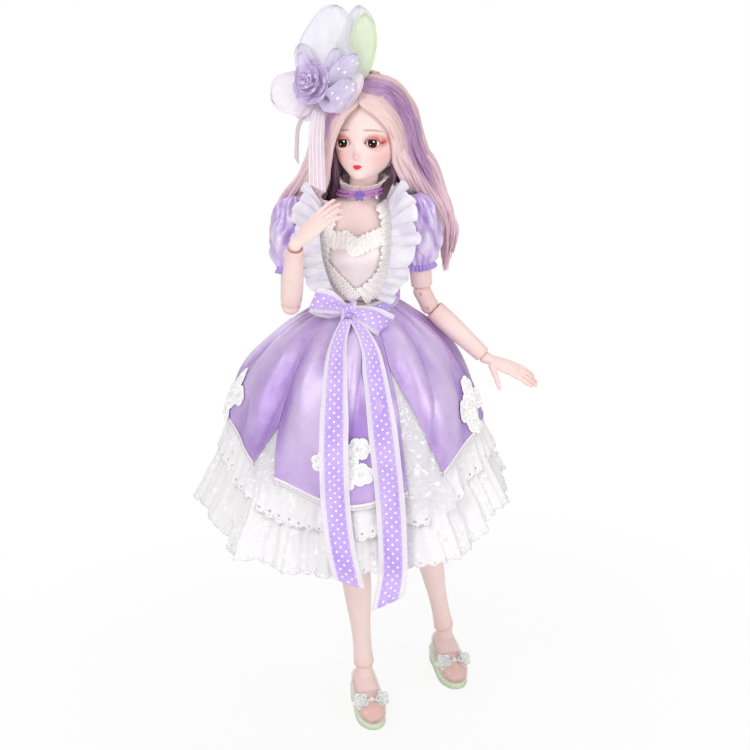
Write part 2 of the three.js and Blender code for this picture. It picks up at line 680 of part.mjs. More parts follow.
// Shoe and foot sections along the foot: place, half width, height of the foot above the insole.
const FOOT = [
  [18, 6, 13],
  [12, 9.5, 21],
  [0, 10.8, 25],
  [-14, 11.2, 22],
  [-26, 12, 16.5],
  [-37, 12, 11.5],
  [-44, 9.5, 8.5],
  [-48, 5.5, 6],
];
const INSOLE = 1.2;
const UPPER_WALL = 1.4;
const SOLE_RISE = (SOLE_HEEL - SOLE_TOE) / (SOLE_BACK + SOLE_FRONT);
const soleTop = (y) => -ANKLE_Z + SOLE_TOE + SOLE_RISE * (y + SOLE_FRONT);
function footForm(grow, drop) {
  const ends = [1, ...new Array(FOOT.length - 2).fill(0), -1];
  return skin(FOOT.map(([y, width, height], i) => {
    const low = soleTop(y) + GAP + INSOLE + GAP - drop;
    const high = soleTop(y) + 2 * GAP + INSOLE + height + grow;
    const row = [];
    for (let k = 0; k < 10; k++) {
      const turn = (2 * Math.PI * (k + 0.5)) / 10;
      const bulge = (value) => Math.sign(value) * Math.abs(value) ** 0.8;
      const x = (width + grow) * bulge(sin(turn));
      row.push(vec(x, y + ends[i] * grow, (low + high) / 2 + ((high - low) / 2) * bulge(cos(turn))));
    }
    return row;
  }));
}
function soleSolid() {
  const low = [];
  const high = [];
  for (let k = 0; k < 22; k++) {
    const turn = (2 * Math.PI * k) / 22;
    const t = (1 - cos(turn)) / 2;
    const y = SOLE_BACK - t * (SOLE_BACK + SOLE_FRONT);
    const width = (11 + 4.5 * sin(Math.PI * Math.min(1, t * 1.05) ** 1.6)) * Math.abs(sin(turn)) ** 0.55;
    low.push(vec(Math.sign(sin(turn)) * width, y, -ANKLE_Z));
    high.push(vec(Math.sign(sin(turn)) * width, y, soleTop(y)));
  }
  return skin([low, high]);
}

// Legs: the right foot stands forward, the left one behind and out to its side.
const ANKLE_AT = { r: vec(-6, -15, ANKLE_Z), l: vec(78, 59, ANKLE_Z) };
const FOOT_TURN = { r: 11, l: 13 };
for (const [key, side] of Object.entries(SIDES)) {
  const hip = hipAt(side);
  const leg = bendChain(hip, ANKLE_AT[key], vec(0.15, -1, 0), THIGH, KNEE_LINK, SHIN);
  const ballFrame = new THREE.Group();
  ballFrame.position.copy(hip);
  doll.add(ballFrame);
  const peg = rod(HIP_PEG, vec(0, 0, 0), vec(-side * HIP_DEPTH, 0, 0));
  piece(`hip_ball_${key}`, join(ball(HIP_BALL), peg), "skin", ballFrame);

  const thighFrame = frame(hip, leg.headings[0], leg.side);
  const pegReach = side > 0 ? [-40, 0] : [0, 40];
  const pegSlot = block(...pegReach, -HIP_PEG - 1, HIP_PEG + 1, -HIP_PEG - 2.5, 40);
  const thigh = cut(
    limb(THIGH_FORM),
    cup(HIP_BALL),
    cup(KNEE_BALL).translate(0, 0, -THIGH),
    turned([[7, 0], [7, -22], [16, -40], [16, -72], [7, -105], [7, -THIGH]], 8),
    into(thighFrame, pegSlot.translate(...hip.toArray())),
  );
  piece(`thigh_${key}`, thigh, "skin", thighFrame);
  const linkFrame = frame(leg.first, leg.headings[1], leg.side);
  piece(`knee_link_${key}`, dumbbell(KNEE_BALL, KNEE_LINK), "skin", linkFrame);
  const shinFrame = frame(leg.second, leg.headings[2], leg.side);
  const shin = cut(
    limb(SHIN_FORM),
    cup(KNEE_BALL),
    cup(ANKLE_BALL).translate(0, 0, -SHIN),
    rod(STEM + GAP, vec(0, 0, -SHIN), vec(0, 0, -SHIN + STEM_RISE + GAP), 8),
  );
  piece(`shin_${key}`, shin, "skin", shinFrame);
  const ankle = leg.second.clone().addScaledVector(leg.headings[2], SHIN);
  const yaw = rad(FOOT_TURN[key]);
  const footSide = vec(cos(yaw), sin(yaw), 0);
  const pegFrame = frame(ankle, leg.headings[2], footSide);
  piece(`ankle_peg_${key}`, crossPeg(STEM_RISE, 6), "pin", pegFrame);

  const footFrame = new THREE.Group();
  footFrame.position.copy(ankle);
  footFrame.rotation.z = yaw;
  footFrame.updateMatrix();
  doll.add(footFrame);
  const ankleWay = pegWay(ANKLE_BALL, 6).map((tool) => into(footFrame, tool.applyMatrix4(pegFrame.matrix)));
  const ankleSolid = join(footForm(0, 0), ball(ANKLE_BALL), turned([[9.2, -18], [8, -5]], 10));
  piece(`foot_${key}`, cut(ankleSolid, ...ankleWay), "skin", footFrame);
  piece(`shoe_sole_${key}`, soleSolid(), "sole", footFrame);
  const throat = egg(15, 27, 14, 0, -4, soleTop(0) + 19);
  const upper = cut(footForm(UPPER_WALL + GAP, INSOLE + GAP), footForm(GAP, GAP), throat);
  piece(`shoe_upper_${key}`, upper, "shoe", footFrame);
  const bowZ = soleTop(-32) + 16;
  const bow = join(
    egg(8, 4.5, 4.5, -8, -32, bowZ, 6),
    egg(8, 4.5, 4.5, 8, -32, bowZ, 6),
    egg(4, 4, 4, 0, -32, bowZ, 6),
  );
  piece(`shoe_bow_${key}`, cut(bow, footForm(UPPER_WALL + 2 * GAP, 0)), "organza", footFrame);
}

// Bodice and yoke: shells over the chest, parted at the neckline, with armholes.
const NECKLINE = WAIST_Z + 63;
const armholes = Object.values(SIDES).flatMap((side) => {
  const shoulder = shoulderAt(side);
  const pegEnd = shoulder.clone().add(vec(-side * PEG_DEPTH, 0, 0));
  return [
    new THREE.SphereGeometry(ARMHOLE, 12, 8).translate(...shoulder.toArray()),
    rod(SHOULDER_PEG + GAP, pegEnd, shoulder),
  ];
});
const LINING = GAP + 0.2;        // gap between the dress shells and the chest
function shellOver(low, high, wall) {
  const heights = [low, ...CHEST.map(([z]) => z).filter((z) => z > low + 2 && z < high - 2), high];
  const rows = (grow) => heights.map((z) => trunkRow(sectionAt(CHEST, z), grow));
  return skin([...rows(LINING + wall), ...rows(LINING).reverse()], true);
}
piece("bodice", cut(shellOver(CHEST_LOW, NECKLINE, 2), ...armholes), "cream", doll);
const COLLAR = 19;               // inner radius of the standing collar
const COLLAR_WALL = 1.2;
const collarRings = [[COLLAR, NECK_Z + 5], [COLLAR, NECK_Z + 14], [COLLAR + 3, NECK_Z + 18.5]];
const yokeHeights = [NECKLINE + GAP, ...CHEST.map(([z]) => z).filter((z) => z > NECKLINE + 2 && z < NECK_Z)];
const neckMiddle = (z) => NECK_X + (z - collarRings[0][1]) * Math.tan(rad(NECK_LEAN));
const collarRing = (radius, z) => oval(z, radius, radius, radius, TRUNK_SIDES, neckMiddle(z));
const yokeRows = (wall) => [
  ...yokeHeights.map((z) => trunkRow(sectionAt(CHEST, z), LINING + wall)),
  ...collarRings.map(([radius, z]) => collarRing(radius + wall, z)),
];
const yoke = skin([...yokeRows(COLLAR_WALL), ...yokeRows(0).reverse()], true);
piece("yoke_collar", cut(yoke, ...armholes), "mesh", doll);

// Choker round the collar, with a flower at the front.
const CHOKER_Z = NECK_Z + 10;
const chokerRows = [-2.4, 2.4].map((rise) => oval(CHOKER_Z + rise, 1, 1, 1, 20));
const chokerRing = (radius) => chokerRows.map((row) =>
  row.map((p) => vec(neckMiddle(p.z) + p.x * radius, p.y * radius, p.z)));
const chokerIn = COLLAR + COLLAR_WALL + GAP;
piece("choker", skin([...chokerRing(chokerIn + 1.4), ...chokerRing(chokerIn).reverse()], true), "cord", doll);
const blossom = new THREE.Shape();
for (let i = 0; i < 20; i++) {
  const size = 4 * (1 + 0.22 * cos((5 * 2 * Math.PI * i) / 20));
  const [x, y] = [size * sin((2 * Math.PI * i) / 20), size * cos((2 * Math.PI * i) / 20)];
  if (i) {
    blossom.lineTo(x, y);
  } else {
    blossom.moveTo(x, y);
  }
}
const flower = new THREE.ExtrudeGeometry(blossom, { depth: 2, bevelEnabled: false, curveSegments: 1 })
  .rotateX(Math.PI / 2)
  .translate(neckMiddle(CHOKER_Z) - 1, -(chokerIn + 1.4 + GAP), CHOKER_Z - 1);
piece("choker_flower", flower, "rose", doll);

// Shoulder frills: pleated bands from the waist over each shoulder.
const FRILL = [
  // across, y, height, then the way it stands out and how far
  [21, -36, WAIST_Z + 5, 0.8, -0.6, 0, 12],
  [27, -40, WAIST_Z + 24, 0.8, -0.6, 0, 17],
  [31, -42.5, WAIST_Z + 42, 0.85, -0.5, 0.1, 21],
  [32, -37, WAIST_Z + 60, 0.85, -0.4, 0.25, 24],
  [32, -25, WAIST_Z + 77, 0.75, -0.25, 0.6, 24],
  [31, -10, WAIST_Z + 86, 0.6, -0.05, 0.8, 20],
  [30, 6, WAIST_Z + 86, 0.6, 0.1, 0.8, 16],
];
const FRILL_PLEATS = 9;
const FRILL_STEPS = 36;
const FRILL_ROOT = 6;            // how far a frill runs in before it is trimmed to the bodice
const frillTrim = skin(CHEST.map((ring) => trunkRow(ring, LINING + 2 + GAP)));
for (const [key, side] of Object.entries(SIDES)) {
  const [points, across, through, half] = [[], [], [], []];
  for (let step = 0; step <= FRILL_STEPS; step++) {
    const place = (step / FRILL_STEPS) * (FRILL.length - 1);
    const index = Math.min(FRILL.length - 2, Math.floor(place));
    const row = FRILL[index].map((value, k) => value + (FRILL[index + 1][k] - value) * (place - index));
    const next = FRILL[index + 1].map((value, k) => value - FRILL[index][k]);
    const outward = vec(side * row[3], row[4], row[5]).normalize();
    const run = vec(side * next[0], next[1], next[2]).normalize();
    const face = outward.clone().cross(run).normalize().multiplyScalar(side);
    const wave = 2.2 * sin((2 * Math.PI * FRILL_PLEATS * step) / FRILL_STEPS + 0.6);
    const base = vec(BODY_X + side * row[0], row[1], row[2]);
    points.push(base.addScaledVector(outward, (row[6] - FRILL_ROOT) / 2 + 1).addScaledVector(face, wave));
    across.push(outward);
    through.push(face);
    half.push((row[6] + FRILL_ROOT) / 2);
  }
  piece(`frill_${key}`, cut(strip(points, across, through, half, 1), frillTrim), "frill", doll);
}

// Puff sleeves: hollow, open at the cuff, cut away beside the trunk so the arm can lift.
const SLEEVE = [
  [16, 6, 6, 6],
  [11, 14.5, 14.5, 14.5],
  [-2, 20, 20, 20],
  [-30, 22, 21.5, 21.5],
  [-46, 19.5, 18.5, 18.5],
  [-54, 14.5, 14, 14],
  [-58, 11.5, 11.5, 11.5],
];
for (const [key, side] of Object.entries(SIDES)) {
  const parent = doll.children.find((group) => group.children[0]?.name === `upper_arm_${key}`);
  const rows = (grow) => SLEEVE.map(([z, width, front, back]) =>
    oval(z + (z > 10 ? grow : 0), width + grow, front + grow, back + grow, 12));
  const inner = SLEEVE.map(([z, width, front, back], i) => {
    const wall = i === SLEEVE.length - 1 ? 1 : 1.5;
    const drop = i === SLEEVE.length - 1 ? -2 : 0;
    return oval(z + drop - (z > 10 ? wall : 0), width - wall, front - wall, back - wall, 12);
  });
  const shoulder = shoulderAt(side);
  const away = block(-80, 0, -60, 60, -100, 100).translate(-7.5, 0, 0);
  const lifted = block(-80, 0, -60, 60, -100, 100).translate(-7.5, 0, 0).rotateY(rad(55));
  const medial = [away, lifted].map((tool) => {
    const turnedTool = side > 0 ? tool : tool.rotateZ(Math.PI);
    return into(parent, turnedTool.translate(...shoulder.toArray()));
  });
  piece(`sleeve_${key}`, cut(skin(rows(0)), skin(inner), ...medial), "satin", parent);
}

// Skirt: a bell of satin panels over a longer lace petticoat, both hanging in the same main folds.
const SKIRT_WAIST = WAIST.map((size) => size + GAP + CLOTH);
const NOTCHES = [[33, 9, 62], [-48, 6, 56], [132, 8, 45], [-132, 8, 45]];   // where, half width, height
const skirtTurns = [];
for (let turn = -180; turn < 180; turn += 10) {
  skirtTurns.push(turn);
}
for (const [where, half] of NOTCHES) {
  const near = skirtTurns.filter((turn) => Math.abs(turn - where) > half + 2);
  skirtTurns.splice(0, skirtTurns.length, ...near, where - half, where, where + half);
}
skirtTurns.sort((a, b) => a - b);
const SATIN_HEM = 283;           // mean height of the satin's hem
const SATIN_DIP = 26;            // how far it dips at the front and back, and rises at the sides
const LACE_HEM = 196;            // height of the lace's hem at the front
const LACE_RISE = 44;            // how far the lace's hem rises at the sides
const satinLevel = (turn) => SATIN_HEM - SATIN_DIP * cos(2 * rad(turn));
const notchRise = (turn, [where, half, height]) => height * Math.max(0, 1 - Math.abs(turn - where) / half);
const satinHem = (turn) => satinLevel(turn) + Math.max(...NOTCHES.map((notch) => notchRise(turn, notch)));
const laceHem = (turn) => LACE_HEM + LACE_RISE * sin(rad(turn)) ** 4;

// Point of the bell at a turn from the front and a height, pushed in or out by a margin.
function bellPoint(turn, z, margin, extra = 0) {
  const angle = rad(turn);
  const fall = Math.max(0, BELL_TOP - z);
  const spread = 1 - Math.exp(-fall / SKIRT_EASE);
  const fold = 3.5 * spread ** 3 * cos(SKIRT_FOLDS * angle + 0.8);
  const out = margin + fold + extra;
  const width = SKIRT_WAIST[0] + SKIRT_FLARE * spread + out;
  const depth = SKIRT_WAIST[cos(angle) > 0 ? 1 : 2] + SKIRT_DEPTH * spread + out;
  return vec(BODY_X + SKIRT_DRIFT * spread + width * sin(angle), -depth * cos(angle), z);
}
const SKIRT_STEPS = [0, 0.06, 0.14, 0.25, 0.4, 0.62, 1];
const skirtTop = PELVIS_HIGH;
const skirtRows = (margin) => [
  skirtTurns.map((turn) => bellPoint(turn, skirtTop, margin)),
  ...SKIRT_STEPS.map((t) => skirtTurns.map((turn) => {
    const z = BELL_TOP + (satinHem(turn) - BELL_TOP) * t;
    return bellPoint(turn, z, margin);
  })),
];
piece("skirt", skin([...skirtRows(0), ...skirtRows(-CLOTH).reverse()], true), "satin", doll);
const PETTICOAT_TOP = 350;       // height where the petticoat starts inside the skirt
const PETTICOAT_IN = 6.8;          // how far it lies inside the satin
const laceFlare = (turn, z) => {
  const below = Math.max(0, satinLevel(turn) - 3 - z);
  return 0.0028 * below ** 2 + 0.12 * below + 0.05 * below * cos(2 * SKIRT_FOLDS * rad(turn));
};
const LACE_STEPS = [0, 0.35, 0.58, 0.8, 1];
const lacePoint = (turn, z, margin) => bellPoint(turn, z, margin - PETTICOAT_IN, laceFlare(turn, z));
const laceRows = (margin) => LACE_STEPS.map((t) => skirtTurns.map((turn) => {
  const z = PETTICOAT_TOP + (laceHem(turn) - PETTICOAT_TOP) * t;
  return lacePoint(turn, z, margin);
}));
piece("petticoat", skin([...laceRows(0), ...laceRows(-CLOTH).reverse()], true), "lace", doll);

// Sash round the waist, its bow and the two tails that hang down the front.
const SASH = 2.2;
const sashRows = (grow) => [PELVIS_HIGH, BELL_TOP + 1].map((z) =>
  oval(z, SKIRT_WAIST[0] + GAP + grow, SKIRT_WAIST[1] + GAP + grow, SKIRT_WAIST[2] + GAP + grow, 28, BODY_X));
const sash = skin([...sashRows(SASH), ...sashRows(0).reverse()], true);
piece("sash", sash, "ribbon", doll);
const KNOT_X = -8;
const KNOT_Y = -(SKIRT_WAIST[1] + GAP + SASH + 4.5);
const KNOT_Z = 420;
const sashWay = skin(sashRows(SASH + GAP));
const bow = join(
  egg(6, 4.8, 7, KNOT_X, KNOT_Y, KNOT_Z, 8),
  egg(13, 3.4, 8, KNOT_X - 13, KNOT_Y - 1, KNOT_Z - 1, 8),
  egg(13, 3.4, 8, KNOT_X + 14, KNOT_Y - 1, KNOT_Z + 2, 8),
);
piece("bow", cut(bow, sashWay), "ribbon", doll);
const TAIL_HALF = 13.5;
const TAIL_CLEAR = 2.5;
const TAILS = { r: [-12, -25, 190], l: [2, 12, 163] };   // start x, end x, lower end
for (const [key, [startX, endX, lowest]] of Object.entries(TAILS)) {
  const points = [];
  const across = [];
  const half = [];
  for (let step = 0; step <= 10; step++) {
    const z = KNOT_Z - 9 + (lowest - KNOT_Z + 9) * (step / 10);
    const x = startX + (endX - startX) * Math.min(1, step / 5);
    let y = points.length ? points[points.length - 1].y : KNOT_Y + 3;
    for (let turn = -30; turn <= 30; turn += 2) {
      const onSatin = z > satinHem(turn) - 6;
      const level = onSatin ? bellPoint(turn, z, 0) : lacePoint(turn, Math.max(z, laceHem(turn)), 0);
      if (Math.abs(level.x - x) < TAIL_HALF + 4) {
        y = Math.min(y, level.y - TAIL_CLEAR - (key === "l" ? 2.6 : 0));
      }
    }
    points.push(vec(x, y, z));
    across.push(vec(1, 0, 0));
    half.push(Math.min(TAIL_HALF, 5 + 5 * step) * (key === "l" && step > 8 ? 0.8 : 1));
  }
  const through = points.map((point, i) => {
    const before = points[Math.max(0, i - 1)];
    const after = points[Math.min(points.length - 1, i + 1)];
    return vec(1, 0, 0).cross(after.clone().sub(before));
  });
  piece(`ribbon_tail_${key}`, strip(points, across, through, half, 0.9), "ribbon", doll);
}

// The origin is put under the middle of the whole doll.
doll.updateMatrixWorld(true);
const extent = new THREE.Box3().setFromObject(doll, true);
doll.position.set(-(extent.min.x + extent.max.x) / 2, -(extent.min.y + extent.max.y) / 2, -extent.min.z);
doll.updateMatrixWorld(true);

export default doll;
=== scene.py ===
import json
import math
import bpy
import bmesh
import numpy as np
from numpy import clip, cos, exp, linspace, pi, sin
from mathutils import Matrix, Vector


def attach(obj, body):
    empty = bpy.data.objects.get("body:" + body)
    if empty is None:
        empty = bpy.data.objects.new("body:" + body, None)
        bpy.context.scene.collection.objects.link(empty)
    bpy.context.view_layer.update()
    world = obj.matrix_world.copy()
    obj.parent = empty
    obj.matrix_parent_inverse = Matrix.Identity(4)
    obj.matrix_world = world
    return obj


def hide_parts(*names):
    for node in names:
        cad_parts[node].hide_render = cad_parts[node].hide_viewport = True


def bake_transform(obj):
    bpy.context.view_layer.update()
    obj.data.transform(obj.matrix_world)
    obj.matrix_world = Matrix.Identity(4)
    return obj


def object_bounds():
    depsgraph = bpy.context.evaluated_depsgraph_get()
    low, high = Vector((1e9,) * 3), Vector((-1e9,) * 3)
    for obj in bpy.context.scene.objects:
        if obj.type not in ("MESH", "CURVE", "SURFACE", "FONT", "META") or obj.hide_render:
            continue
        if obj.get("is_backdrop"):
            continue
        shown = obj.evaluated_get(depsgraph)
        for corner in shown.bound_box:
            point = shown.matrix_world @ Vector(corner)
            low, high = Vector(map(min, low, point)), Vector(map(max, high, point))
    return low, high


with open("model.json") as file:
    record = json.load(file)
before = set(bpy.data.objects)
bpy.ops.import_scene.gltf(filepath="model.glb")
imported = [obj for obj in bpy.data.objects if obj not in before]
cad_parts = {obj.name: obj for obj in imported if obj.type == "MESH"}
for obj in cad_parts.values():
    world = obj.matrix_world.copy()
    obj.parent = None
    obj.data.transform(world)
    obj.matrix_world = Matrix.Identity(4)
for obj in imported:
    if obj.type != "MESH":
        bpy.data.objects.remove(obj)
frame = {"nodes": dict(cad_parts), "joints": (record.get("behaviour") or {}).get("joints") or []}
cad_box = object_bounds()

# Studio: a plain white floor and soft lamps, with the camera looking a little down on the doll.
# Sizes here and below are in millimetres about the doll's own middle line; in_frame() moves
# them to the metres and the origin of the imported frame.
JOINTS = {joint["name"]: joint for joint in frame["joints"]}
SHIFT = np.array(JOINTS["waist_turn"]["pos_m"]) * 1000 - (2, 0, 426)
TARGET = np.array((15, 0, 345))
DISTANCE = 1500
ELEVATION = math.radians(18)
ROLL = math.radians(-2)
LENS, SENSOR = 75.84, 36
LIT_SPOT = (0, 0, 380)
ROOM_LIGHT, GLOSS_LIGHT = 0.58, 0.34
FLOOR_HALF, FLOOR_SHOWN = 4.0, 0.86


def in_frame(points):
    return (np.asarray(points, float) + SHIFT) / 1000


def unit(vector):
    vector = np.asarray(vector, float)
    return vector / np.linalg.norm(vector, axis=-1, keepdims=True)


def rgba(code):
    """Linear colour of a six-digit web code."""
    parts = [int(code[i:i + 2], 16) / 255 for i in (0, 2, 4)]
    return tuple(p / 12.92 if p < 0.04045 else ((p + 0.055) / 1.055) ** 2.4 for p in parts) + (1,)


class Wire:
    """A socket whose value changes over a surface: sums on it add Math nodes to its material."""

    def __init__(self, socket):
        self.socket = socket

    def add(self, kind, settings=None, sockets=None, out=0):
        """Adds a node of that kind, with its settings and the values or wires of its sockets."""
        tree = self.socket.id_data
        node = tree.nodes.new("ShaderNode" + kind)
        for name, value in (settings or {}).items():
            setattr(node, name, value)
        for name, value in (sockets or {}).items():
            if isinstance(value, Wire):
                tree.links.new(value.socket, node.inputs[name])
            else:
                node.inputs[name].default_value = value
        return Wire(node.outputs[out])

    def math(self, operation, *values):
        return self.add("Math", {"operation": operation}, dict(enumerate(values)))

    def __add__(self, other):
        return self.math("ADD", self, other)

    def __sub__(self, other):
        return self.math("SUBTRACT", self, other)

    def __rsub__(self, other):
        return self.math("SUBTRACT", other, self)

    def __mul__(self, other):
        return self.math("MULTIPLY", self, other)

    def __truediv__(self, other):
        return self.math("DIVIDE", self, other)

    def __pow__(self, other):
        return self.math("POWER", self, other)

    def __lt__(self, other):
        return self.math("LESS_THAN", self, other)

    def __gt__(self, other):
        return self.math("GREATER_THAN", self, other)

    __radd__ = __add__
    __rmul__ = __mul__

    def __abs__(self):
        return self.math("ABSOLUTE", self)

    def capped(self):
        return self.math("MINIMUM", self, 1.0)

    def beat(self, length):
        """Share of the way through each repeat of that length."""
        repeats = self / length
        return repeats.math("FRACT", repeats)

    def wave(self, length):
        """A sine of that length, from 0 to 1."""
        angle = self * (2 * pi / length)
        return angle.math("SINE", angle) * 0.5 + 0.5

    def step(self, low, high):
        """0 below low, 1 above high and smooth between them."""
        return self.add("MapRange", {"interpolation_type": "SMOOTHSTEP"}, {0: self, 1: low, 2: high})

    def mark(self, name):
        """Value that the mesh keeps at its points under that name."""
        return self.add("Attribute", {"attribute_name": name}, {}, "Fac")

    def split(self):
        return [self.add("SeparateXYZ", {}, {0: self}, k) for k in range(3)]

    def noise(self, size, detail=2.0):
        return self.add("TexNoise", {}, {"Vector": self, "Scale": 1 / size, "Detail": detail})

    def cells(self, size, jitter=1.0):
        """Distance to the nearest of scattered points that lie about size apart."""
        return self.add("TexVoronoi", {}, {"Vector": self, "Scale": 1 / size, "Randomness": jitter})

    def stretch(self, x, y, z=1.0):
        return self.add("VectorMath", {"operation": "MULTIPLY"}, {0: self, 1: (x, y, z)})

    def mix(self, first, second):
        """Colour between two codes or wires, by this value."""
        ends = [rgba(c) if isinstance(c, str) else c for c in (first, second)]
        return self.add("Mix", {"data_type": "RGBA"}, {0: self, 6: ends[0], 7: ends[1]}, 2)

    def bump(self, height):
        """Raises the surface by this value times a height in millimetres."""
        relief = {"Height": self, "Distance": height / 1000, "Strength": 1.0}
        self.add("Bump", {}, relief).to("Normal")

    def to(self, name):
        """Feeds an input of the material's shader."""
        tree = self.socket.id_data
        tree.links.new(self.socket, tree.nodes["Principled BSDF"].inputs[name])


def finish(name, laid="Object", **fixed):
    """A material with some fixed values, and the wire of where a pattern is laid on it. laid is
    Object for millimetres in space, or the name of a UV map in millimetres."""
    material = bpy.data.materials.new(name)
    material.use_nodes = True
    nodes = material.node_tree.nodes
    shader = nodes["Principled BSDF"]
    for socket, value in fixed.items():
        shader.inputs[socket.replace("_", " ")].default_value = value
    if laid == "Object":
        at = Wire(nodes.new("ShaderNodeTexCoord").outputs["Object"]).stretch(1000, 1000, 1000)
    else:
        mapped = nodes.new("ShaderNodeUVMap")
        mapped.uv_map = laid
        at = Wire(mapped.outputs[0])
    return material, at


back = np.array((0, -cos(ELEVATION), sin(ELEVATION)))
right = np.array((1.0, 0, 0))
up = np.cross(back, right)
camera = bpy.data.objects.new("camera", bpy.data.cameras.new("camera"))
bpy.context.scene.collection.objects.link(camera)
turn = np.stack([
    cos(ROLL) * right + sin(ROLL) * up,
    cos(ROLL) * up - sin(ROLL) * right,
    back,
], 1)
stand = Matrix.Translation(in_frame(TARGET + DISTANCE * back))
camera.matrix_world = stand @ Matrix(turn.tolist()).to_4x4()
camera.data.lens = LENS
camera.data.sensor_width = SENSOR
bpy.context.scene.camera = camera
bpy.context.scene.view_settings.view_transform = "Standard"

for name, at, size, power in (
    ("key_lamp", (-620, -1000, 1250), 0.5, 5.2),
    ("fill_lamp", (950, -850, 760), 0.6, 4.0),
    ("front_lamp", (-320, -1450, 380), 0.9, 3.1),
    ("top_lamp", (150, 250, 1500), 0.8, 3.0),
    ("rim_lamp", (-500, 1000, 900), 0.8, 2.8),
):
    lamp = bpy.data.objects.new(name, bpy.data.lights.new(name, "AREA"))
    lamp.data.size = size
    lamp.data.energy = power
    lamp.location = in_frame(at)
    aim = Vector(in_frame(LIT_SPOT)) - lamp.location
    lamp.rotation_euler = aim.to_track_quat("-Z", "Y").to_euler()
    bpy.context.scene.collection.objects.link(lamp)


def either(share, first, second):
    """Mixes two shading nodes by a share."""
    return share.add("MixShader", {}, {0: share, 1: Wire(first.outputs[0]), 2: Wire(second.outputs[0])})


def seen_white(tree, lit, share):
    """Shows plain white to the camera, and through clear pieces, over what lights the doll."""
    rays = Wire(tree.nodes.new("ShaderNodeLightPath").outputs["Is Camera Ray"])
    path = rays.socket.node.outputs
    any_ray = (rays + Wire(path["Is Transmission Ray"])) > 0.5
    kind = "Emission" if lit.bl_idname.endswith("Diffuse") else "Background"
    white = tree.nodes.new("ShaderNode" + kind)
    white.inputs[0].default_value = (1, 1, 1, 1)
    white.inputs[1].default_value = 1.0
    return either(any_ray * share, lit, white)


world = bpy.data.worlds.new("studio")
bpy.context.scene.world = world
world.use_nodes = True
room = world.node_tree.nodes["Background"]
room.inputs[0].default_value = (1, 0.99, 0.985, 1)
room.inputs[1].default_value = ROOM_LIGHT
dim = world.node_tree.nodes.new("ShaderNodeBackground")
dim.inputs[1].default_value = GLOSS_LIGHT
gloss = Wire(world.node_tree.nodes.new("ShaderNodeLightPath").outputs["Is Glossy Ray"])
room = either(gloss, room, dim).socket.node
shown = seen_white(world.node_tree, room, 1.0)
world.node_tree.links.new(shown.socket, world.node_tree.nodes["World Output"].inputs[0])

floor_mesh = bpy.data.meshes.new("floor")
corners = [(x * FLOOR_HALF, y * FLOOR_HALF, 0) for x, y in ((-1, -1), (1, -1), (1, 1), (-1, 1))]
floor_mesh.from_pydata(corners, [], [(0, 1, 2, 3)])
floor = bpy.data.objects.new("floor", floor_mesh)
bpy.context.scene.collection.objects.link(floor)
paint = bpy.data.materials.new("floor_paint")
paint.use_nodes = True
matt = paint.node_tree.nodes.new("ShaderNodeBsdfDiffuse")
matt.inputs[0].default_value = (0.9, 0.9, 0.9, 1)
spot = Wire(paint.node_tree.nodes.new("ShaderNodeTexCoord").outputs["Object"])
away = spot.add("VectorMath", {"operation": "LENGTH"}, {0: spot}, "Value")
shown = seen_white(paint.node_tree, matt, away.step(0.2, 0.6) * (1 - FLOOR_SHOWN) + FLOOR_SHOWN)
paint.node_tree.links.new(shown.socket, paint.node_tree.nodes["Material Output"].inputs[0])
floor_mesh.materials.append(paint)
floor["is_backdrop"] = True

# Body shells: moulded pale pink vinyl, in hollow lengths that meet at balls and pins.
# Each length is turned smooth from its sections, with a rolled rim where it takes the next ball.


def flow(keys, values, at):
    """Smooth curve through values at rising keys, read at other places."""
    keys, values, at = (np.asarray(a, float) for a in (keys, values, at))
    slopes = np.gradient(values, keys, axis=0)
    k = clip(np.searchsorted(keys, at) - 1, 0, len(keys) - 2)
    width = keys[k + 1] - keys[k]
    t = (at - keys[k]) / width
    if values.ndim > 1:
        width, t = width[:, None], t[:, None]
    rising = (1 + 2 * t) * (1 - t) ** 2 * values[k] + t * (1 - t) ** 2 * width * slopes[k]
    return rising + t * t * (3 - 2 * t) * values[k + 1] + t * t * (t - 1) * width * slopes[k + 1]


def put_in_scene(name, mesh, material):
    mesh.materials.append(material)
    mesh.polygons.foreach_set("use_smooth", np.ones(len(mesh.polygons), bool))
    made = bpy.data.objects.new(name, mesh)
    bpy.context.scene.collection.objects.link(made)
    return made


def dress(made, body, node=None):
    """Fixes a piece to its body and hides the solid that it stands for."""
    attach(made, body)
    if node:
        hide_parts(node)


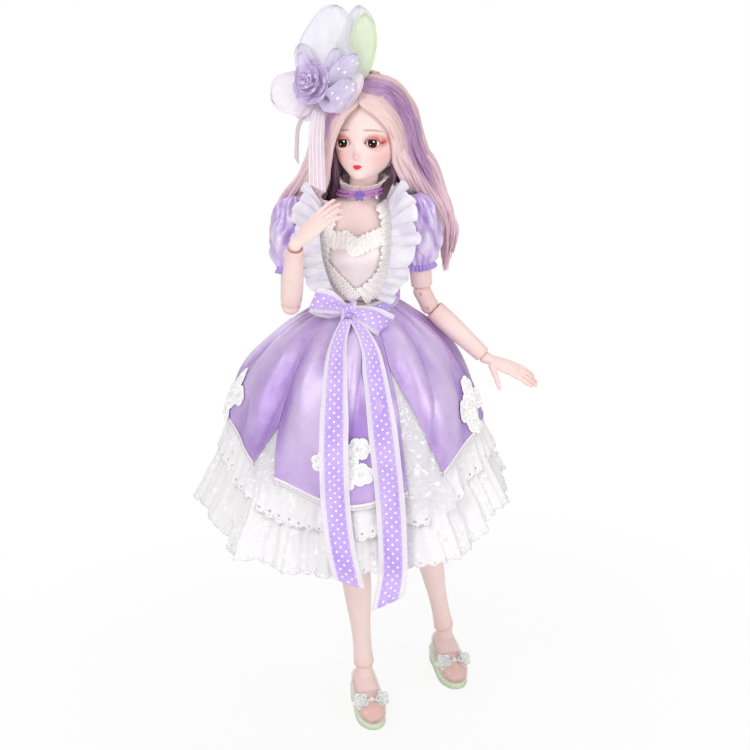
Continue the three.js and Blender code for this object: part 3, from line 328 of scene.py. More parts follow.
def laid_grid(name, grid, material, wrap=False, u=None, v=None, thick=0, marks=None, weld=False,
              keep=None):
    """Mesh on a grid of points. u and v are its flat cut in millimetres, kept as a UV map, and
    marks are values at its points that the material reads. keep picks the faces that stay."""
    grid = np.asarray(grid, float)
    rows, columns = grid.shape[:2]
    i, j = np.meshgrid(np.arange(rows - 1), np.arange(columns if wrap else columns - 1), indexing="ij")
    around = [(0, 0), (0, 1), (1, 1), (1, 0)]
    faces = np.stack([(i + a) * columns + (j + b) % columns for a, b in around], -1).reshape(-1, 4)
    closed = np.concatenate([grid, grid[:, :1]], 1) if wrap else grid
    if u is None:
        steps = np.linalg.norm(np.diff(closed, axis=1), axis=2).mean(0)
        u = np.concatenate([[0], np.cumsum(steps)])
    if v is None:
        v = np.concatenate([[0], np.cumsum(np.linalg.norm(np.diff(grid, axis=0), axis=2).mean(1))])
    u = np.broadcast_to(u, closed.shape[:2])
    v = np.broadcast_to(v[:, None] if np.ndim(v) == 1 else v, closed.shape[:2])
    corners = lambda values: np.stack([values[i + a, j + b] for a, b in around], -1)
    cut = np.stack([corners(u), corners(v)], -1).reshape(-1, 4, 2)
    if keep is not None:
        kept = keep.reshape(-1)
        faces, cut = faces[kept], cut[kept]
    mesh = bpy.data.meshes.new(name)
    mesh.from_pydata(in_frame(grid.reshape(-1, 3)).tolist(), [], faces.tolist())
    mesh.uv_layers.new(name="cut").uv.foreach_set("vector", cut.astype(np.float32).ravel())
    for mark, values in (marks or {}).items():
        layer = mesh.attributes.new(mark, "FLOAT", "POINT")
        values = np.broadcast_to(values, grid.shape[:2])
        layer.data.foreach_set("value", values.astype(np.float32).ravel())
    if weld or keep is not None:
        edit = bmesh.new()
        edit.from_mesh(mesh)
        if weld:
            bmesh.ops.remove_doubles(edit, verts=edit.verts, dist=1e-7)
            bmesh.ops.recalc_face_normals(edit, faces=edit.faces)
        bmesh.ops.delete(edit, geom=[vert for vert in edit.verts if not vert.link_faces], context="VERTS")
        edit.to_mesh(mesh)
        edit.free()
    made = put_in_scene(name, mesh, material)
    if thick:
        shell = made.modifiers.new("thickness", "SOLIDIFY")
        shell.thickness = thick / 1000
        shell.offset = 0
    return made


def mottled(name, first, second, cloud, grain, height, laid="Object", low=0.3, **fixed):
    """A finish in soft clouds of two tones, with a fine grain raised on it."""
    material, at = finish(name, laid, **fixed)
    at.noise(*cloud).step(low, 0.7).mix(first, second).to("Base Color")
    at.noise(*grain).bump(height)
    return material


def skin_finish(name):
    """Matt vinyl: a faint mottle, pores in the bump and a warmer tint at joints and tips."""
    material, at = finish(name, Roughness=0.5, Specular_IOR_Level=0.35)
    warmth = at.mark("warm")
    mottle = at.noise(14, 3).step(0.3, 0.75) * 0.35
    base = mottle.mix("f7dfda", "f2d1cc")
    return material, at, warmth.mix(base, "efb3a8")


vinyl, vinyl_at, vinyl_colour = skin_finish("vinyl")
vinyl_colour.to("Base Color")
(vinyl_at.noise(0.9, 4) * 0.6 + vinyl_at.noise(5, 2) * 0.4).bump(0.05)
(vinyl_at.noise(6, 3) * 0.16 + 0.42).to("Roughness")


def pivot(joint):
    return np.array(JOINTS[joint]["pos_m"]) * 1000 - SHIFT


def even_turns(count):
    return np.arange(count) * 2 * pi / count


def oval(turn, wide, fore, aft, z, x=0.0):
    """Points round a level oval: turn is 0 at the front, with its reach there and behind."""
    reach = np.where(cos(turn) > 0, fore, aft)
    return np.stack(np.broadcast_arrays(x + wide * sin(turn), -reach * cos(turn), z), -1)


def level_ring(centre, across, front, size, sides):
    """Ring of an oval section: size is half width, reach to the front and reach to the back, or
    one radius."""
    size = np.broadcast_to(size, 3)
    turn = even_turns(sides)
    reach = np.where(cos(turn) > 0, size[1], size[2]) * cos(turn)
    return centre + np.outer(size[0] * sin(turn), across) + np.outer(reach, front)


LIMB_SIDES, LIMB_STEPS = 44, 56


def shell_length(name, body, start, heading, sections, hollow=1.8):
    """One length of limb along a heading: sections give distance, half width, front and back."""
    heading = unit(heading)
    front = np.array((0, -1.0, 0)) if abs(heading[1]) < 0.9 else np.array((0, 0, 1.0))
    front = unit(front - heading * (front @ heading))
    across = np.cross(front, heading)
    table = np.array(sections, float)
    places = linspace(table[0, 0], table[-1, 0], LIMB_STEPS)
    sizes = flow(table[:, 0], table[:, 1:], places)
    rim = np.array([(hollow, 0.001), (hollow, 0.8), (0.5, 0.87), (0.0, 0.93), (0.25, 0.98)])
    places = np.concatenate([places[0] + rim[:, 0], places[1:-1], (places[-1] - rim[:, 0])[::-1]])
    ends = [np.outer(rim[:, 1], sizes[0]), sizes[1:-1], np.outer(rim[:, 1], sizes[-1])[::-1]]
    sizes = np.concatenate(ends)
    grid = [level_ring(start + heading * p, across, front, s, LIMB_SIDES) for p, s in zip(places, sizes)]
    nearest = np.minimum(places - table[0, 0], table[-1, 0] - places)
    warm = exp(-np.maximum(nearest, 0) / 9)[:, None] * 0.3
    made = laid_grid(name, grid, vinyl, wrap=True, weld=True, marks={"warm": warm})
    dress(made, body, body)


def joined(name, pieces):
    """One object from several meshes of the same material."""
    with bpy.context.temp_override(active_object=pieces[0], selected_editable_objects=pieces):
        bpy.ops.object.join()
    pieces[0].name = name
    return pieces[0]


def joint_link(name, body, first, second, radius, pins):
    """Double joint: two balls on one bar, with the ends of its two hinge pins let in flush."""
    heading = unit(second - first)
    length = np.linalg.norm(second - first)
    places = linspace(-radius, length + radius, 64)
    ball = lambda middle: np.sqrt(np.maximum(radius ** 2 - (places - middle) ** 2, 0))
    bar = np.where((places > 0) & (places < length), 0.965 * radius, 0)
    round_size = np.maximum(np.maximum(ball(0), ball(length)), bar) + 1e-4
    front = unit(np.cross(heading, pins))
    grid = [level_ring(first + heading * p, unit(pins), front, r, 40) for p, r in zip(places, round_size)]
    made = laid_grid(name, grid, vinyl, wrap=True, weld=True, marks={"warm": 0.16})
    dress(made, body, body)
    caps = []
    for middle in (first, second):
        for side in (-1, 1):
            rings = [(0.0, 0.01), (0.0, 1.0), (0.2, 1.2), (0.2, 1.6), (-1.5, 1.6)]
            cap = [level_ring(middle + side * unit(pins) * (radius + rise), front, heading, r, 20)
                   for rise, r in rings]
            caps.append(laid_grid("pin", cap, pin_vinyl, wrap=True, weld=True))
    pins_made = joined(f"{name}_pins", caps)
    dress(pins_made, body)


pin_vinyl = mottled("pin_vinyl", "dba593", "ebc0b1", (1.2, 3), (0.5, 2), 0.04, low=0.35, Roughness=0.45)

TRUNK_KEYS = [426.6, 440, 455, 468, 480, 492, 503, 511, 516]
TRUNK_SIZES = [(35, 29, 27), (35, 30, 28), (36.5, 35, 29), (38.5, 40, 30), (38.5, 37, 30), (37, 30, 27),
               (33.5, 23, 23), (25, 18, 19), (17, 15, 15)]
TRUNK_X = 2


def trunk_ring(z, grow, sides):
    """Ring round the chest, raised off it by grow; z is one height or one for each side."""
    heights = np.broadcast_to(np.asarray(z, float), sides)
    size = flow(TRUNK_KEYS, TRUNK_SIZES, heights) + grow
    return oval(even_turns(sides), *size.T, heights, TRUNK_X)


def with_ends(rows):
    """Rings closed by a point in the middle of the first and of the last."""
    points = [np.broadcast_to(rows[k].mean(0), (1, *rows[k].shape)) for k in (0, -1)]
    return np.concatenate([points[0], rows, points[1]])


chest_rows = [trunk_ring(z, -0.2, 72) for z in linspace(TRUNK_KEYS[0], TRUNK_KEYS[-1], 60)]
chest = laid_grid("chest_shell", with_ends(chest_rows), vinyl, wrap=True, weld=True, marks={"warm": 0.05})
dress(chest, "chest", "chest")

neck_at = pivot("neck_nod")
neck_up = np.array(JOINTS["head_turn"]["axis"])
neck_profile = [(-11.4, 0.01), (-9, 7), (-4, 10.7), (2, 11.2), (7, 10.3), (12, 11.4), (18, 12.2),
                (27, 12.8), (31, 12.2), (35, 10.5), (41, 10.9), (46, 8.5), (49.4, 0.01)]
neck_places = linspace(neck_profile[0][0], neck_profile[-1][0], 60)
neck_sizes = np.maximum(flow(*zip(*neck_profile), neck_places), 0.01)
neck_front = np.array((0, -1, 0))
neck_rows = [level_ring(neck_at + z * neck_up, np.cross(neck_front, neck_up), neck_front, r, 48)
             for z, r in zip(neck_places, neck_sizes)]
neck = laid_grid("neck_column", neck_rows, vinyl, wrap=True, weld=True, marks={"warm": 0.08})
dress(neck, "neck", "neck")

in_pairs = [f"{name}_{key}" for name in ("shoulder_ball", "hip_ball", "wrist_peg", "ankle_peg")
            for key in "rl"]
for name in ["pelvis", "waist_hub", "head_cap", *in_pairs]:
    hidden_shell = frame["nodes"][name]
    hidden_shell.data.materials.clear()
    hidden_shell.data.materials.append(pin_vinyl if "peg" in name or "hub" in name else vinyl)

# Arms and legs: upper and lower lengths with a pinned double joint between them.
# The right forearm is folded up to the chest and the left arm hangs out over the skirt.
UPPER_ARM = [(-1, 12.2, 12.2, 12.2), (12, 12.2, 12.2, 12.2), (35, 11.4, 11.8, 11.4),
             (60, 10.2, 10.4, 10.4), (73, 9.8, 9.8, 9.8)]
FOREARM = [(6, 9.6, 9.6, 9.6), (16, 10, 10.2, 10.2), (35, 9.6, 9.8, 9.8), (55, 8.4, 8.4, 8.4),
           (69, 7.6, 7.6, 7.6)]
THIGH = [(0, 17, 17, 17), (12, 20.5, 20.5, 20.5), (32, 23.5, 24, 24), (62, 22.5, 23, 23),
         (95, 18.5, 19, 19), (118, 15.5, 16, 15.5), (129, 14.4, 14.6, 14.4)]
SHIN = [(8, 13.8, 14.2, 13.8), (22, 13.8, 13.8, 14.8), (42, 13.6, 12.8, 16), (62, 12, 11.4, 14),
        (84, 10, 9.8, 10.8), (108, 9, 9, 9.4), (126, 9.4, 9.4, 9.6), (136, 10.2, 10.2, 10.2)]
for key in "rl":
    arm = ("shoulder_raise", "elbow_upper", "elbow_lower", "wrist_bend")
    shoulder, elbow, lower_elbow, wrist = (pivot(f"{joint}_{key}") for joint in arm)
    hinge = np.array(JOINTS[f"elbow_upper_{key}"]["axis"])
    shell_length(f"upper_arm_shell_{key}", f"upper_arm_{key}", shoulder, elbow - shoulder, UPPER_ARM)
    joint_link(f"elbow_{key}", f"elbow_link_{key}", elbow, lower_elbow, 8.5, hinge)
    shell_length(f"forearm_shell_{key}", f"forearm_{key}", lower_elbow, wrist - lower_elbow, FOREARM)
    leg = ("hip_spread", "knee_upper", "knee_lower", "ankle_bend")
    hip, knee, lower_knee, ankle = (pivot(f"{joint}_{key}") for joint in leg)
    hinge = np.array(JOINTS[f"knee_upper_{key}"]["axis"])
    shell_length(f"thigh_shell_{key}", f"thigh_{key}", hip, knee - hip, THIGH, 2.6)
    joint_link(f"knee_{key}", f"knee_link_{key}", knee, lower_knee, 11.5, hinge)
    shell_length(f"shin_shell_{key}", f"shin_{key}", lower_knee, ankle - lower_knee, SHIN, 2.6)

# Hands and feet: one-piece vinyl mouldings on the wrist and ankle pegs.
# The separate forms of a palm, fingers or foot are melted into one skin and smoothed.


def melted(name, forms, cell, passes, warm):
    """One vinyl skin round several closed forms, each a grid of rings, smoothed over."""
    edit = bmesh.new()
    for grid in forms:
        rows, columns = grid.shape[:2]
        verts = [[edit.verts.new(p) for p in ring]
                 for ring in in_frame(grid.reshape(-1, 3)).reshape(grid.shape)]
        for i in range(rows - 1):
            for j in range(columns):
                edit.faces.new((verts[i][j], verts[i][(j + 1) % columns],
                                verts[i + 1][(j + 1) % columns], verts[i + 1][j]))
        edit.faces.new(verts[0][::-1])
        edit.faces.new(verts[-1])
    bmesh.ops.recalc_face_normals(edit, faces=edit.faces)
    mesh = bpy.data.meshes.new(name)
    edit.to_mesh(mesh)
    edit.free()
    rough = bpy.data.objects.new(name, mesh)
    bpy.context.scene.collection.objects.link(rough)
    remesh = rough.modifiers.new("melt", "REMESH")
    remesh.mode = "VOXEL"
    remesh.voxel_size = cell / 1000
    smooth = rough.modifiers.new("smooth", "SMOOTH")
    smooth.iterations = passes
    smooth.factor = 0.5
    ready = bpy.data.meshes.new_from_object(rough.evaluated_get(bpy.context.evaluated_depsgraph_get()))
    bpy.data.objects.remove(rough)
    points = np.array([v.co for v in ready.vertices]) * 1000 - SHIFT
    layer = ready.attributes.new("warm", "FLOAT", "POINT")
    layer.data.foreach_set("value", warm(points).astype(np.float32))
    return put_in_scene(name, ready, vinyl)


def finger(base, heading, palm, length, radius, curl):
    """Tapering finger that curls towards the palm, in rings from the knuckle to the tip."""
    heading, side = unit(heading), unit(np.cross(heading, palm))
    bend = lambda t: cos(curl * t) * heading + sin(curl * t) * np.cross(side, heading)
    rings, at = [], np.array(base, float)
    for t in linspace(0, 1, 12):
        knuckles = 1 - 0.34 * t + 0.05 * cos(6 * pi * t)
        size = radius * knuckles * math.sqrt(max(0.03, 1 - max(0, t - 0.86) ** 2 / 0.0215))
        rings.append(level_ring(at, side, np.cross(bend(t), side), size, 12))
        at = at + bend(t) * length / 11
    return np.array(rings)


SIDES = {"r": -1, "l": 1}
PALM = [(-5.9, 1.5, 1.5, 1.5), (-4.5, 4, 4, 4), (0, 5.8, 5.8, 5.8), (4, 5.6, 4.4, 4.4),
        (10, 7.4, 3.9, 3.9), (19, 9.4, 4.0, 4.2), (28, 9.8, 3.5, 3.7), (33, 8.6, 2.8, 2.8),
        (35, 5, 1.6, 1.6)]
HANDS = {
    "r": ((0.74, 0.12, 0.66),
          [(7.0, 25, 0.10, 0.5), (2.4, 27, 0.03, 0.62), (-2.2, 26, -0.04, 0.8), (-6.6, 22, -0.1, 1.0)]),
    "l": ((0.886, -0.317, -0.338),
          [(7.0, 24, 0.14, 0.25), (2.4, 27, 0.04, 0.45), (-2.2, 26, -0.05, 0.6),
           (-6.6, 21, -0.16, 0.75)]),
}
for key, (heading, digits) in HANDS.items():
    thumb = -SIDES[key]
    wrist = pivot(f"wrist_bend_{key}")
    heading = unit(heading)
    across = np.array(JOINTS[f"wrist_bend_{key}"]["axis"])
    palm = np.cross(-heading, across)
    spot = lambda x, y, z: wrist + x * across + y * palm + z * heading
    sizes = np.array(PALM)
    places = linspace(sizes[0, 0], sizes[-1, 0], 30)
    forms = [np.array([level_ring(spot(0, 0, z), across, palm, s, 20)
                       for z, s in zip(places, flow(sizes[:, 0], sizes[:, 1:], places))])]
    for x, length, spread, curl in digits:
        forms.append(finger(spot(thumb * x, 0, 29), heading + thumb * spread * across, palm, length, 2.75,
                            curl))
    forms.append(finger(spot(thumb * 5.5, 1.5, 8), 0.62 * thumb * across + 0.35 * palm + 0.75 * heading,
                        palm, 26, 3.2, 0.35))
    tips = lambda p: clip(((p - wrist) @ heading - 40) / 20, 0, 1) * 0.35 + 0.06
    hand = melted(f"hand_moulding_{key}", forms, 0.5, 6, tips)
    dress(hand, f"hand_{key}", f"hand_{key}")

FOOT = [(18, 6, 13), (12, 9.5, 21), (0, 10.8, 25), (-14, 11.2, 22), (-26, 12, 16.5), (-37, 12, 11.5),
        (-44, 9.5, 8.5), (-48, 5.5, 6)]
FOOT_TURN = {"r": math.radians(11), "l": math.radians(13)}
SOLE_BACK, SOLE_FRONT = 29, 50


def sole_top(y):
    """Height of the sole above the ground, from the toe to the heel."""
    return 7 + 10 * (y + SOLE_FRONT) / (SOLE_BACK + SOLE_FRONT)


def foot_rings(grow, drop, sides=28, steps=40):
    table = np.array(FOOT[::-1], float)
    rings = []
    places = linspace(table[0, 0], table[-1, 0], steps)
    for y, (width, height) in zip(places, flow(table[:, 0], table[:, 1:], places)):
        low, high = sole_top(y) + 1.8 - drop, sole_top(y) + 1.8 + height + grow
        turns = even_turns(sides)
        bulge = lambda value: np.sign(value) * np.abs(value) ** 0.85
        reach = y + grow * (1 if y > 17 else -1 if y < -47 else 0)
        rings.append(np.stack([(width + grow) * bulge(sin(turns)), np.full(sides, reach),
                               (low + high) / 2 + (high - low) / 2 * bulge(cos(turns))], 1))
    return np.array(rings)


def on_foot(key, points):
    """Points of the right or left foot, turned out and set on its ankle."""
    turn = FOOT_TURN[key]
    x, y, z = np.moveaxis(np.asarray(points, float), -1, 0)
    ankle = pivot(f"ankle_bend_{key}")
    return np.stack([ankle[0] + x * cos(turn) - y * sin(turn),
                     ankle[1] + x * sin(turn) + y * cos(turn), z], -1)


ANKLE = [(26, 9.4), (32, 8.9), (38, 8.4), (42, 8.5), (46, 8.5), (50, 7.5), (53, 4.5), (54.4, 1)]
for key in "rl":
    ankle_rings = [level_ring(np.array((0, -1 if z < 30 else 0, z)), (1, 0, 0), (0, -1, 0), r, 24)
                   for z, r in ANKLE]
    forms = [on_foot(key, foot_rings(0, 0)), on_foot(key, np.array(ankle_rings))]
    toes = lambda p: clip((26 - p[:, 2]) / 12, 0, 1) * 0.3 + 0.1
    foot = melted(f"foot_moulding_{key}", forms, 0.7, 8, toes)
    dress(foot, f"foot_{key}", f"foot_{key}")

# Head: a hollow vinyl mould with a painted face; coral lids, thin brown brows, pink cheeks and
# small red lips are airbrushed on. Glossy dark eyes are set in from behind.
HEAD_AT = pivot("head_turn")
FACE_TURN = math.radians(-15)
EYE_X, EYE_Y, EYE_UP, EYE_RADIUS, EYE_HALF = 13.7, -24.8, 22.5, 8.0, 6.9
LIP_LINE, BROW_UP = 2.35, 33.4
HEAD = [(-11.8, 4, 27, 2), (-11, 7.5, 30, 4), (-9.5, 11, 33.5, 7), (-5, 17, 35.2, 13),
        (1, 22.3, 35.4, 20), (9, 26.8, 35, 27), (18, 29.3, 34.8, 32), (31, 30.5, 35, 36),
        (46, 29.5, 33, 35), (59, 25, 27, 30), (69, 16, 17, 19), (73, 5, 5, 6)]


def on_head(points):
    """Points of the head, turned to the doll's right and set on the neck."""
    x, y, z = np.moveaxis(np.asarray(points, float), -1, 0)
    return np.stack([HEAD_AT[0] + x * cos(FACE_TURN) - y * sin(FACE_TURN),
                     HEAD_AT[1] + x * sin(FACE_TURN) + y * cos(FACE_TURN), HEAD_AT[2] + z], -1)


def hump(x, z, at_x, at_z, wide, tall):
    return exp(-((x - at_x) / wide) ** 2 - ((z - at_z) / tall) ** 2)


def lid_edges(x):
    """Heights of the upper and lower lid edges of an eye across its width, outer corner at +1."""
    span = clip(1 - np.abs(x) ** 2.3, 0, 1)
    lift = -0.15 * x
    return EYE_UP + lift + 3.4 * span ** 0.62, EYE_UP + lift - 3.4 * span ** 0.8


front = np.radians(np.concatenate([linspace(-84, 84, 330), linspace(90, 270, 46)]))
heights = np.concatenate([linspace(HEAD[0][0], 42, 180), linspace(43, HEAD[-1][0], 40)])
head_table = np.array(HEAD)
sizes = flow(head_table[:, 0], head_table[:, 1:], heights)
head = oval(front, *sizes.T[..., None], heights[:, None])
x, z = head[..., 0], head[..., 2]
facing = head[..., 1] < -6
push = np.zeros_like(x)
bridge = clip((26 - z) / 14, 0, 1)
push += (4.6 * hump(x, z, 0, 11.6, 2.7, 3.6)
         + 2.6 * exp(-(x / 2.6) ** 2) * bridge ** 1.2 * (z > 10.5) * (z < 27))
push += (hump(x, z, 2.6, 10.6, 1.5, 1.6) + hump(x, z, -2.6, 10.6, 1.5, 1.6))
push += (1.9 * hump(x, z, 0, 4.1, 4.4, 1.7) + 2.0 * hump(x, z, 0, 0.5, 3.6, 1.9)
         - 0.9 * hump(x, z, 0, LIP_LINE, 4.6, 0.55))
push += (-0.5 * hump(x, z, 0, 6.6, 1.0, 1.6) - 0.8 * hump(x, z, 0, -2.8, 5, 1.5)
         + 1.6 * hump(x, z, 0, -8, 6, 4))
push += 1.1 * (hump(x, z, 17, 7, 8, 7) + hump(x, z, -17, 7, 8, 7)) + 0.8 * hump(x, z, 0, 42, 20, 12)
marks = {name: np.zeros_like(x) for name in ("lip", "blush", "shade", "brow", "line", "warm")}
for side in (-1, 1):
    out = (x - side * EYE_X) * side
    push -= 3.0 * hump(out, z, -0.5, 22.5, 9.5, 7.0) - 0.7 * hump(out, z, 0, 34, 11, 4)
head[..., 1] -= np.where(facing, push, 0)
for side in (-1, 1):
    out = (x - side * EYE_X) * side
    over = (out / (EYE_RADIUS + 1.0)) ** 2 + ((z - EYE_UP) / (EYE_RADIUS + 1.0)) ** 2
    lid = EYE_Y - (EYE_RADIUS + 0.9) * np.sqrt(clip(1 - over, 0, 1))
    soft = 1 / (1 + exp((head[..., 1] - lid) * -1.6))
    blended = np.where((over < 1) & facing, head[..., 1] * (1 - soft) + lid * soft, head[..., 1])
    across = out / EYE_HALF
    top, low = lid_edges(across)
    inside = (np.abs(across) < 1) & (z < top) & (z > low) & facing
    head[..., 1] = np.where(inside, EYE_Y + 2, blended)
    near = clip(1 - np.abs(clip(across, -1.25, 1.4)) ** 4 / 4, 0, 1)
    outer = 0.45 + 0.55 * clip(across + 0.4, 0, 1)
    above = clip(1 - np.abs(z - top - 1.2) / 4.4, 0, 1) * (z > top - 1.2)
    below = clip(1 - np.abs(low - z) / 2.2, 0, 1) * (z < low + 0.8)
    corner_shade = hump(out, z, 8.2, EYE_UP + 0.6, 3.4, 3.2)
    shade = (np.abs(across) < 1.3) * near * np.maximum(above * outer, 0.7 * below * outer)
    crease = exp(-((z - top - 2.4) / 0.5) ** 2) * (np.abs(across) < 1.0)
    rim = exp(-((z - top - 0.25) / 0.8) ** 2) + 0.35 * exp(-((z - low + 0.1) / 0.45) ** 2)
    flick_at = EYE_UP - 0.15 + 0.2 * (out - 6.6)
    flick = exp(-((z - flick_at) / 0.7) ** 2) * clip((10.2 - out) / 2, 0, 1) * (out > 6.2)
    drawn = np.where(np.abs(across) < 1.06, np.maximum(crease * 0.42, rim), 0)
    arch = BROW_UP - 0.17 * out + 0.9 * sin(clip((out + 8) / 17, 0, 1) * pi)
    thin = 0.95 * clip(1.4 - np.abs(out + 1) / 9.0, 0.35, 1)
    stroke = exp(-((z - arch) / thin) ** 2) * clip((8.8 - np.abs(out - 0.6)) / 2, 0, 1)
    painted = {"shade": np.maximum(shade, corner_shade), "line": np.maximum(drawn, flick),
               "brow": stroke, "blush": hump(out, z, 5.0, 8.5, 9.0, 7.0)}
    for name, strength in painted.items():
        marks[name] = np.maximum(marks[name], strength * facing)
bow_lift = 0.6 * (exp(-((x - 1.7) / 1.3) ** 2) + exp(-((x + 1.7) / 1.3) ** 2))
upper = LIP_LINE + clip(1.9 * (1 - (np.abs(x) / 5.2) ** 1.6) + bow_lift, 0, 9)
lower = LIP_LINE - clip(2.9 * (1 - (np.abs(x) / 4.8) ** 2), 0, 9)
inside = clip((upper - z) / 0.45, 0, 1) * clip((z - lower) / 0.6, 0, 1) * (np.abs(x) < 5.4) * facing
marks["lip"] = inside
marks["warm"] = 0.25 * hump(x, z, 0, 11.5, 4, 4) * facing + 0.3 * hump(x, z, 0, -9, 8, 4) * facing
padded_marks = {name: np.concatenate([m[:1], m, m[-1:]]) for name, m in marks.items()}

face_paint, face_at, face_colour = skin_finish("face_paint")
mark = face_at.mark
face_colour = (mark("blush") * 0.5).mix(face_colour, "fba6ac")
face_colour = (mark("shade") ** 0.7).mix(face_colour, "ea7466")
face_colour = (mark("brow") * (face_at.noise(0.5, 2) * 0.4 + 0.5)).mix(face_colour, "a07c6c")
face_colour = (mark("line") * 0.92).mix(face_colour, "3c1f1b")
lip = mark("lip")
face_colour = (lip * 0.95).mix(face_colour, (lip ** 2).mix("f48c86", "ea2a30"))
face_colour.to("Base Color")
(0.46 - lip * 0.2).to("Roughness")
face_at.noise(0.8, 4).bump(0.04)
face = laid_grid("face_shell", on_head(with_ends(head)), face_paint, wrap=True, weld=True,
                 marks=padded_marks)
dress(face, "head", "head_shell")

for key, side in SIDES.items():
    eye_gloss, eye_at = finish(f"eye_gloss_{key}", Roughness=0.3, Specular_IOR_Level=0.12)
    middle = on_head(np.array([(side * EYE_X, EYE_Y, EYE_UP)]))[0]
    gaze = unit(on_head(np.array([(0, -1, 0)]))[0] - on_head(np.array([(0, 0, 0)]))[0] + (0, 0, 0.06))
    gaze_x = unit(np.cross((0, 0, 1), gaze))
    gaze_up = np.cross(gaze, gaze_x)

    def from_spot(x, up):
        """Distance over the eye from a spot beside the middle of its iris."""
        spot = in_frame(middle + EYE_RADIUS * unit(EYE_RADIUS * gaze + x * gaze_x + up * gaze_up)) * 1000
        return eye_at.add("VectorMath", {"operation": "DISTANCE"}, {0: eye_at, 1: tuple(spot)}, "Value")

    away = from_spot(0, 0)
    centre = tuple(in_frame(middle) * 1000)
    ray = eye_at.add("VectorMath", {"operation": "SUBTRACT"}, {0: eye_at, 1: centre})
    streak = ray.stretch(1, 1, 0.2).noise(0.5, 3)
    iris = (away.step(2.2, 4.3) * 0.8 + streak * 0.3).mix("5a2c14", "150806")
    eye_colour = away.step(4.3, 4.8).mix(away.step(2.0, 2.5).mix("040203", iris), "fbf3f0")
    eye_colour = away.step(6.6, 8.6).mix(eye_colour, "f0c6be")
    # painted highlights: two white catch-light dots painted into the eye's colour
    painted_glints = (from_spot(1.5, 1.4) < 0.75) + (from_spot(-1.7, -1.1) < 0.5)
    painted_glints.mix(eye_colour, "ffffff").to("Base Color")
    (painted_glints * 0.1 + 0.25 - away.step(4.6, 5.1) * 0.05).to("Roughness")
    rings = [level_ring(middle - gaze * EYE_RADIUS * cos(t), gaze_x, gaze_up,
                        max(EYE_RADIUS * sin(t), 1e-3), 40) for t in linspace(0, pi, 30)]
    eye = laid_grid(f"eye_ball_{key}", rings, eye_gloss, wrap=True, weld=True)
    dress(eye, "head", f"eye_{key}")

# Bodice: cream satin sewn to the chest, with a sweetheart neckline under a band of crinkled lace.
# Two more lace bands run down beside the panel and cross to a point at the waist.


def lengths(path):
    """Distance along a path at each of its points."""
    return np.concatenate([[0], np.cumsum(np.linalg.norm(np.diff(path, axis=0), axis=1))])


def leaning(path):
    return unit(np.gradient(path, axis=0))


def route(points, count):
    """Smooth path through points, at even steps."""
    points = np.asarray(points, float)
    keys = lengths(points)
    fine = flow(keys, points, linspace(0, keys[-1], 8 * count))
    along = lengths(fine)
    at = linspace(0, along[-1], count)
    return np.stack([np.interp(at, along, fine[:, k]) for k in range(fine.shape[1])], 1)


def on_trunk(x, z, grow):
    """Points on the front of the chest, raised off it by grow."""
    x, z = np.broadcast_arrays(np.asarray(x, float), np.asarray(z, float))
    size = (flow(TRUNK_KEYS, TRUNK_SIZES, z.ravel()).reshape(z.shape + (3,))
            + np.asarray(grow, float)[..., None])
    turn = clip((x - TRUNK_X) / size[..., 0], -0.999, 0.999)
    return np.stack([x, -size[..., 1] * np.sqrt(1 - turn ** 2), z], -1)


def satin(name, light, dark, rough=0.34, long=0):
    """Satin: a fine twill, soft clouds of painted shade and light, painted shade in the valleys of its
    folds (the fold mark), small creases and a broad gloss.
    A long piece is also darker towards the end of that length."""
    material, at = finish(name, "cut", Roughness=rough, Specular_IOR_Level=1.0, Metallic=0.2)
    u, v, _ = at.split()
    twill = (u + v).wave(0.42)
    # painted shade and light: soft clouds between the light and the dark tone
    shade = (at.stretch(1, 0.45).noise(34, 2) * 0.8 + at.noise(9, 3) * 0.2).step(0.34, 0.68)
    if long:
        shade = shade * 0.6 + v.step(0.3 * long, long) * 0.4
    # painted shade: the fold mark darkens the colour in the valleys of the folds
    shade = shade * 0.55 + at.mark("fold") * 0.6
    shade.mix(light, dark).to("Base Color")
    (at.noise(30, 2) * 0.16 + (rough - 0.08)).to("Roughness")
    (twill * 0.02 + at.stretch(1, 0.4).noise(22, 1)).bump(1.1)
    return material


cream_satin = satin("cream_satin", "fbeff0", "f0dde4", 0.42)
cotton_lace, lace_at = finish("cotton_lace", "cut", Roughness=0.85, Specular_IOR_Level=0.15,
                              Sheen_Weight=0.25)
thread = 1 - lace_at.cells(4.2, 0.85).step(0.26, 0.46)
net = lace_at.cells(0.95, 0.35).step(0.2, 0.42)
# painted shade: off the threads and net the lace is a darker cream
(thread * 0.6 + net * 0.4).capped().mix("faf2ee", "fffefc").to("Base Color")
(thread + net * 0.6 + 0.85).capped().to("Alpha")
(thread + lace_at.cells(1.3, 0.8) * 0.3).bump(0.2)
NECKLINE = [(-32, 496), (-15, 492), (-7, 493), (1, 487.5), (9, 489), (19, 491), (36, 497)]
WAIST_SEAM, BODICE_SIDES = 426.9, 160
turns = even_turns(BODICE_SIDES)
front_line = np.interp(TRUNK_X + 38 * sin(turns), *zip(*NECKLINE))
neckline = np.where(cos(turns) > 0, front_line, 494 - 3 * cos(2 * turns))
outward = np.stack([sin(turns), -cos(turns), 0 * turns], 1)
rows = []
for share in linspace(0, 1, 44):
    ring = trunk_ring(WAIST_SEAM + share * (neckline - WAIST_SEAM), 1.7, BODICE_SIDES)
    rows.append(ring + 0.35 * sin(15 * turns + 6 * share)[:, None] * (1 - share) * outward)
bodice = laid_grid("bodice_shell", rows, cream_satin, wrap=True, thick=0.7)
dress(bodice, "chest", "bodice")

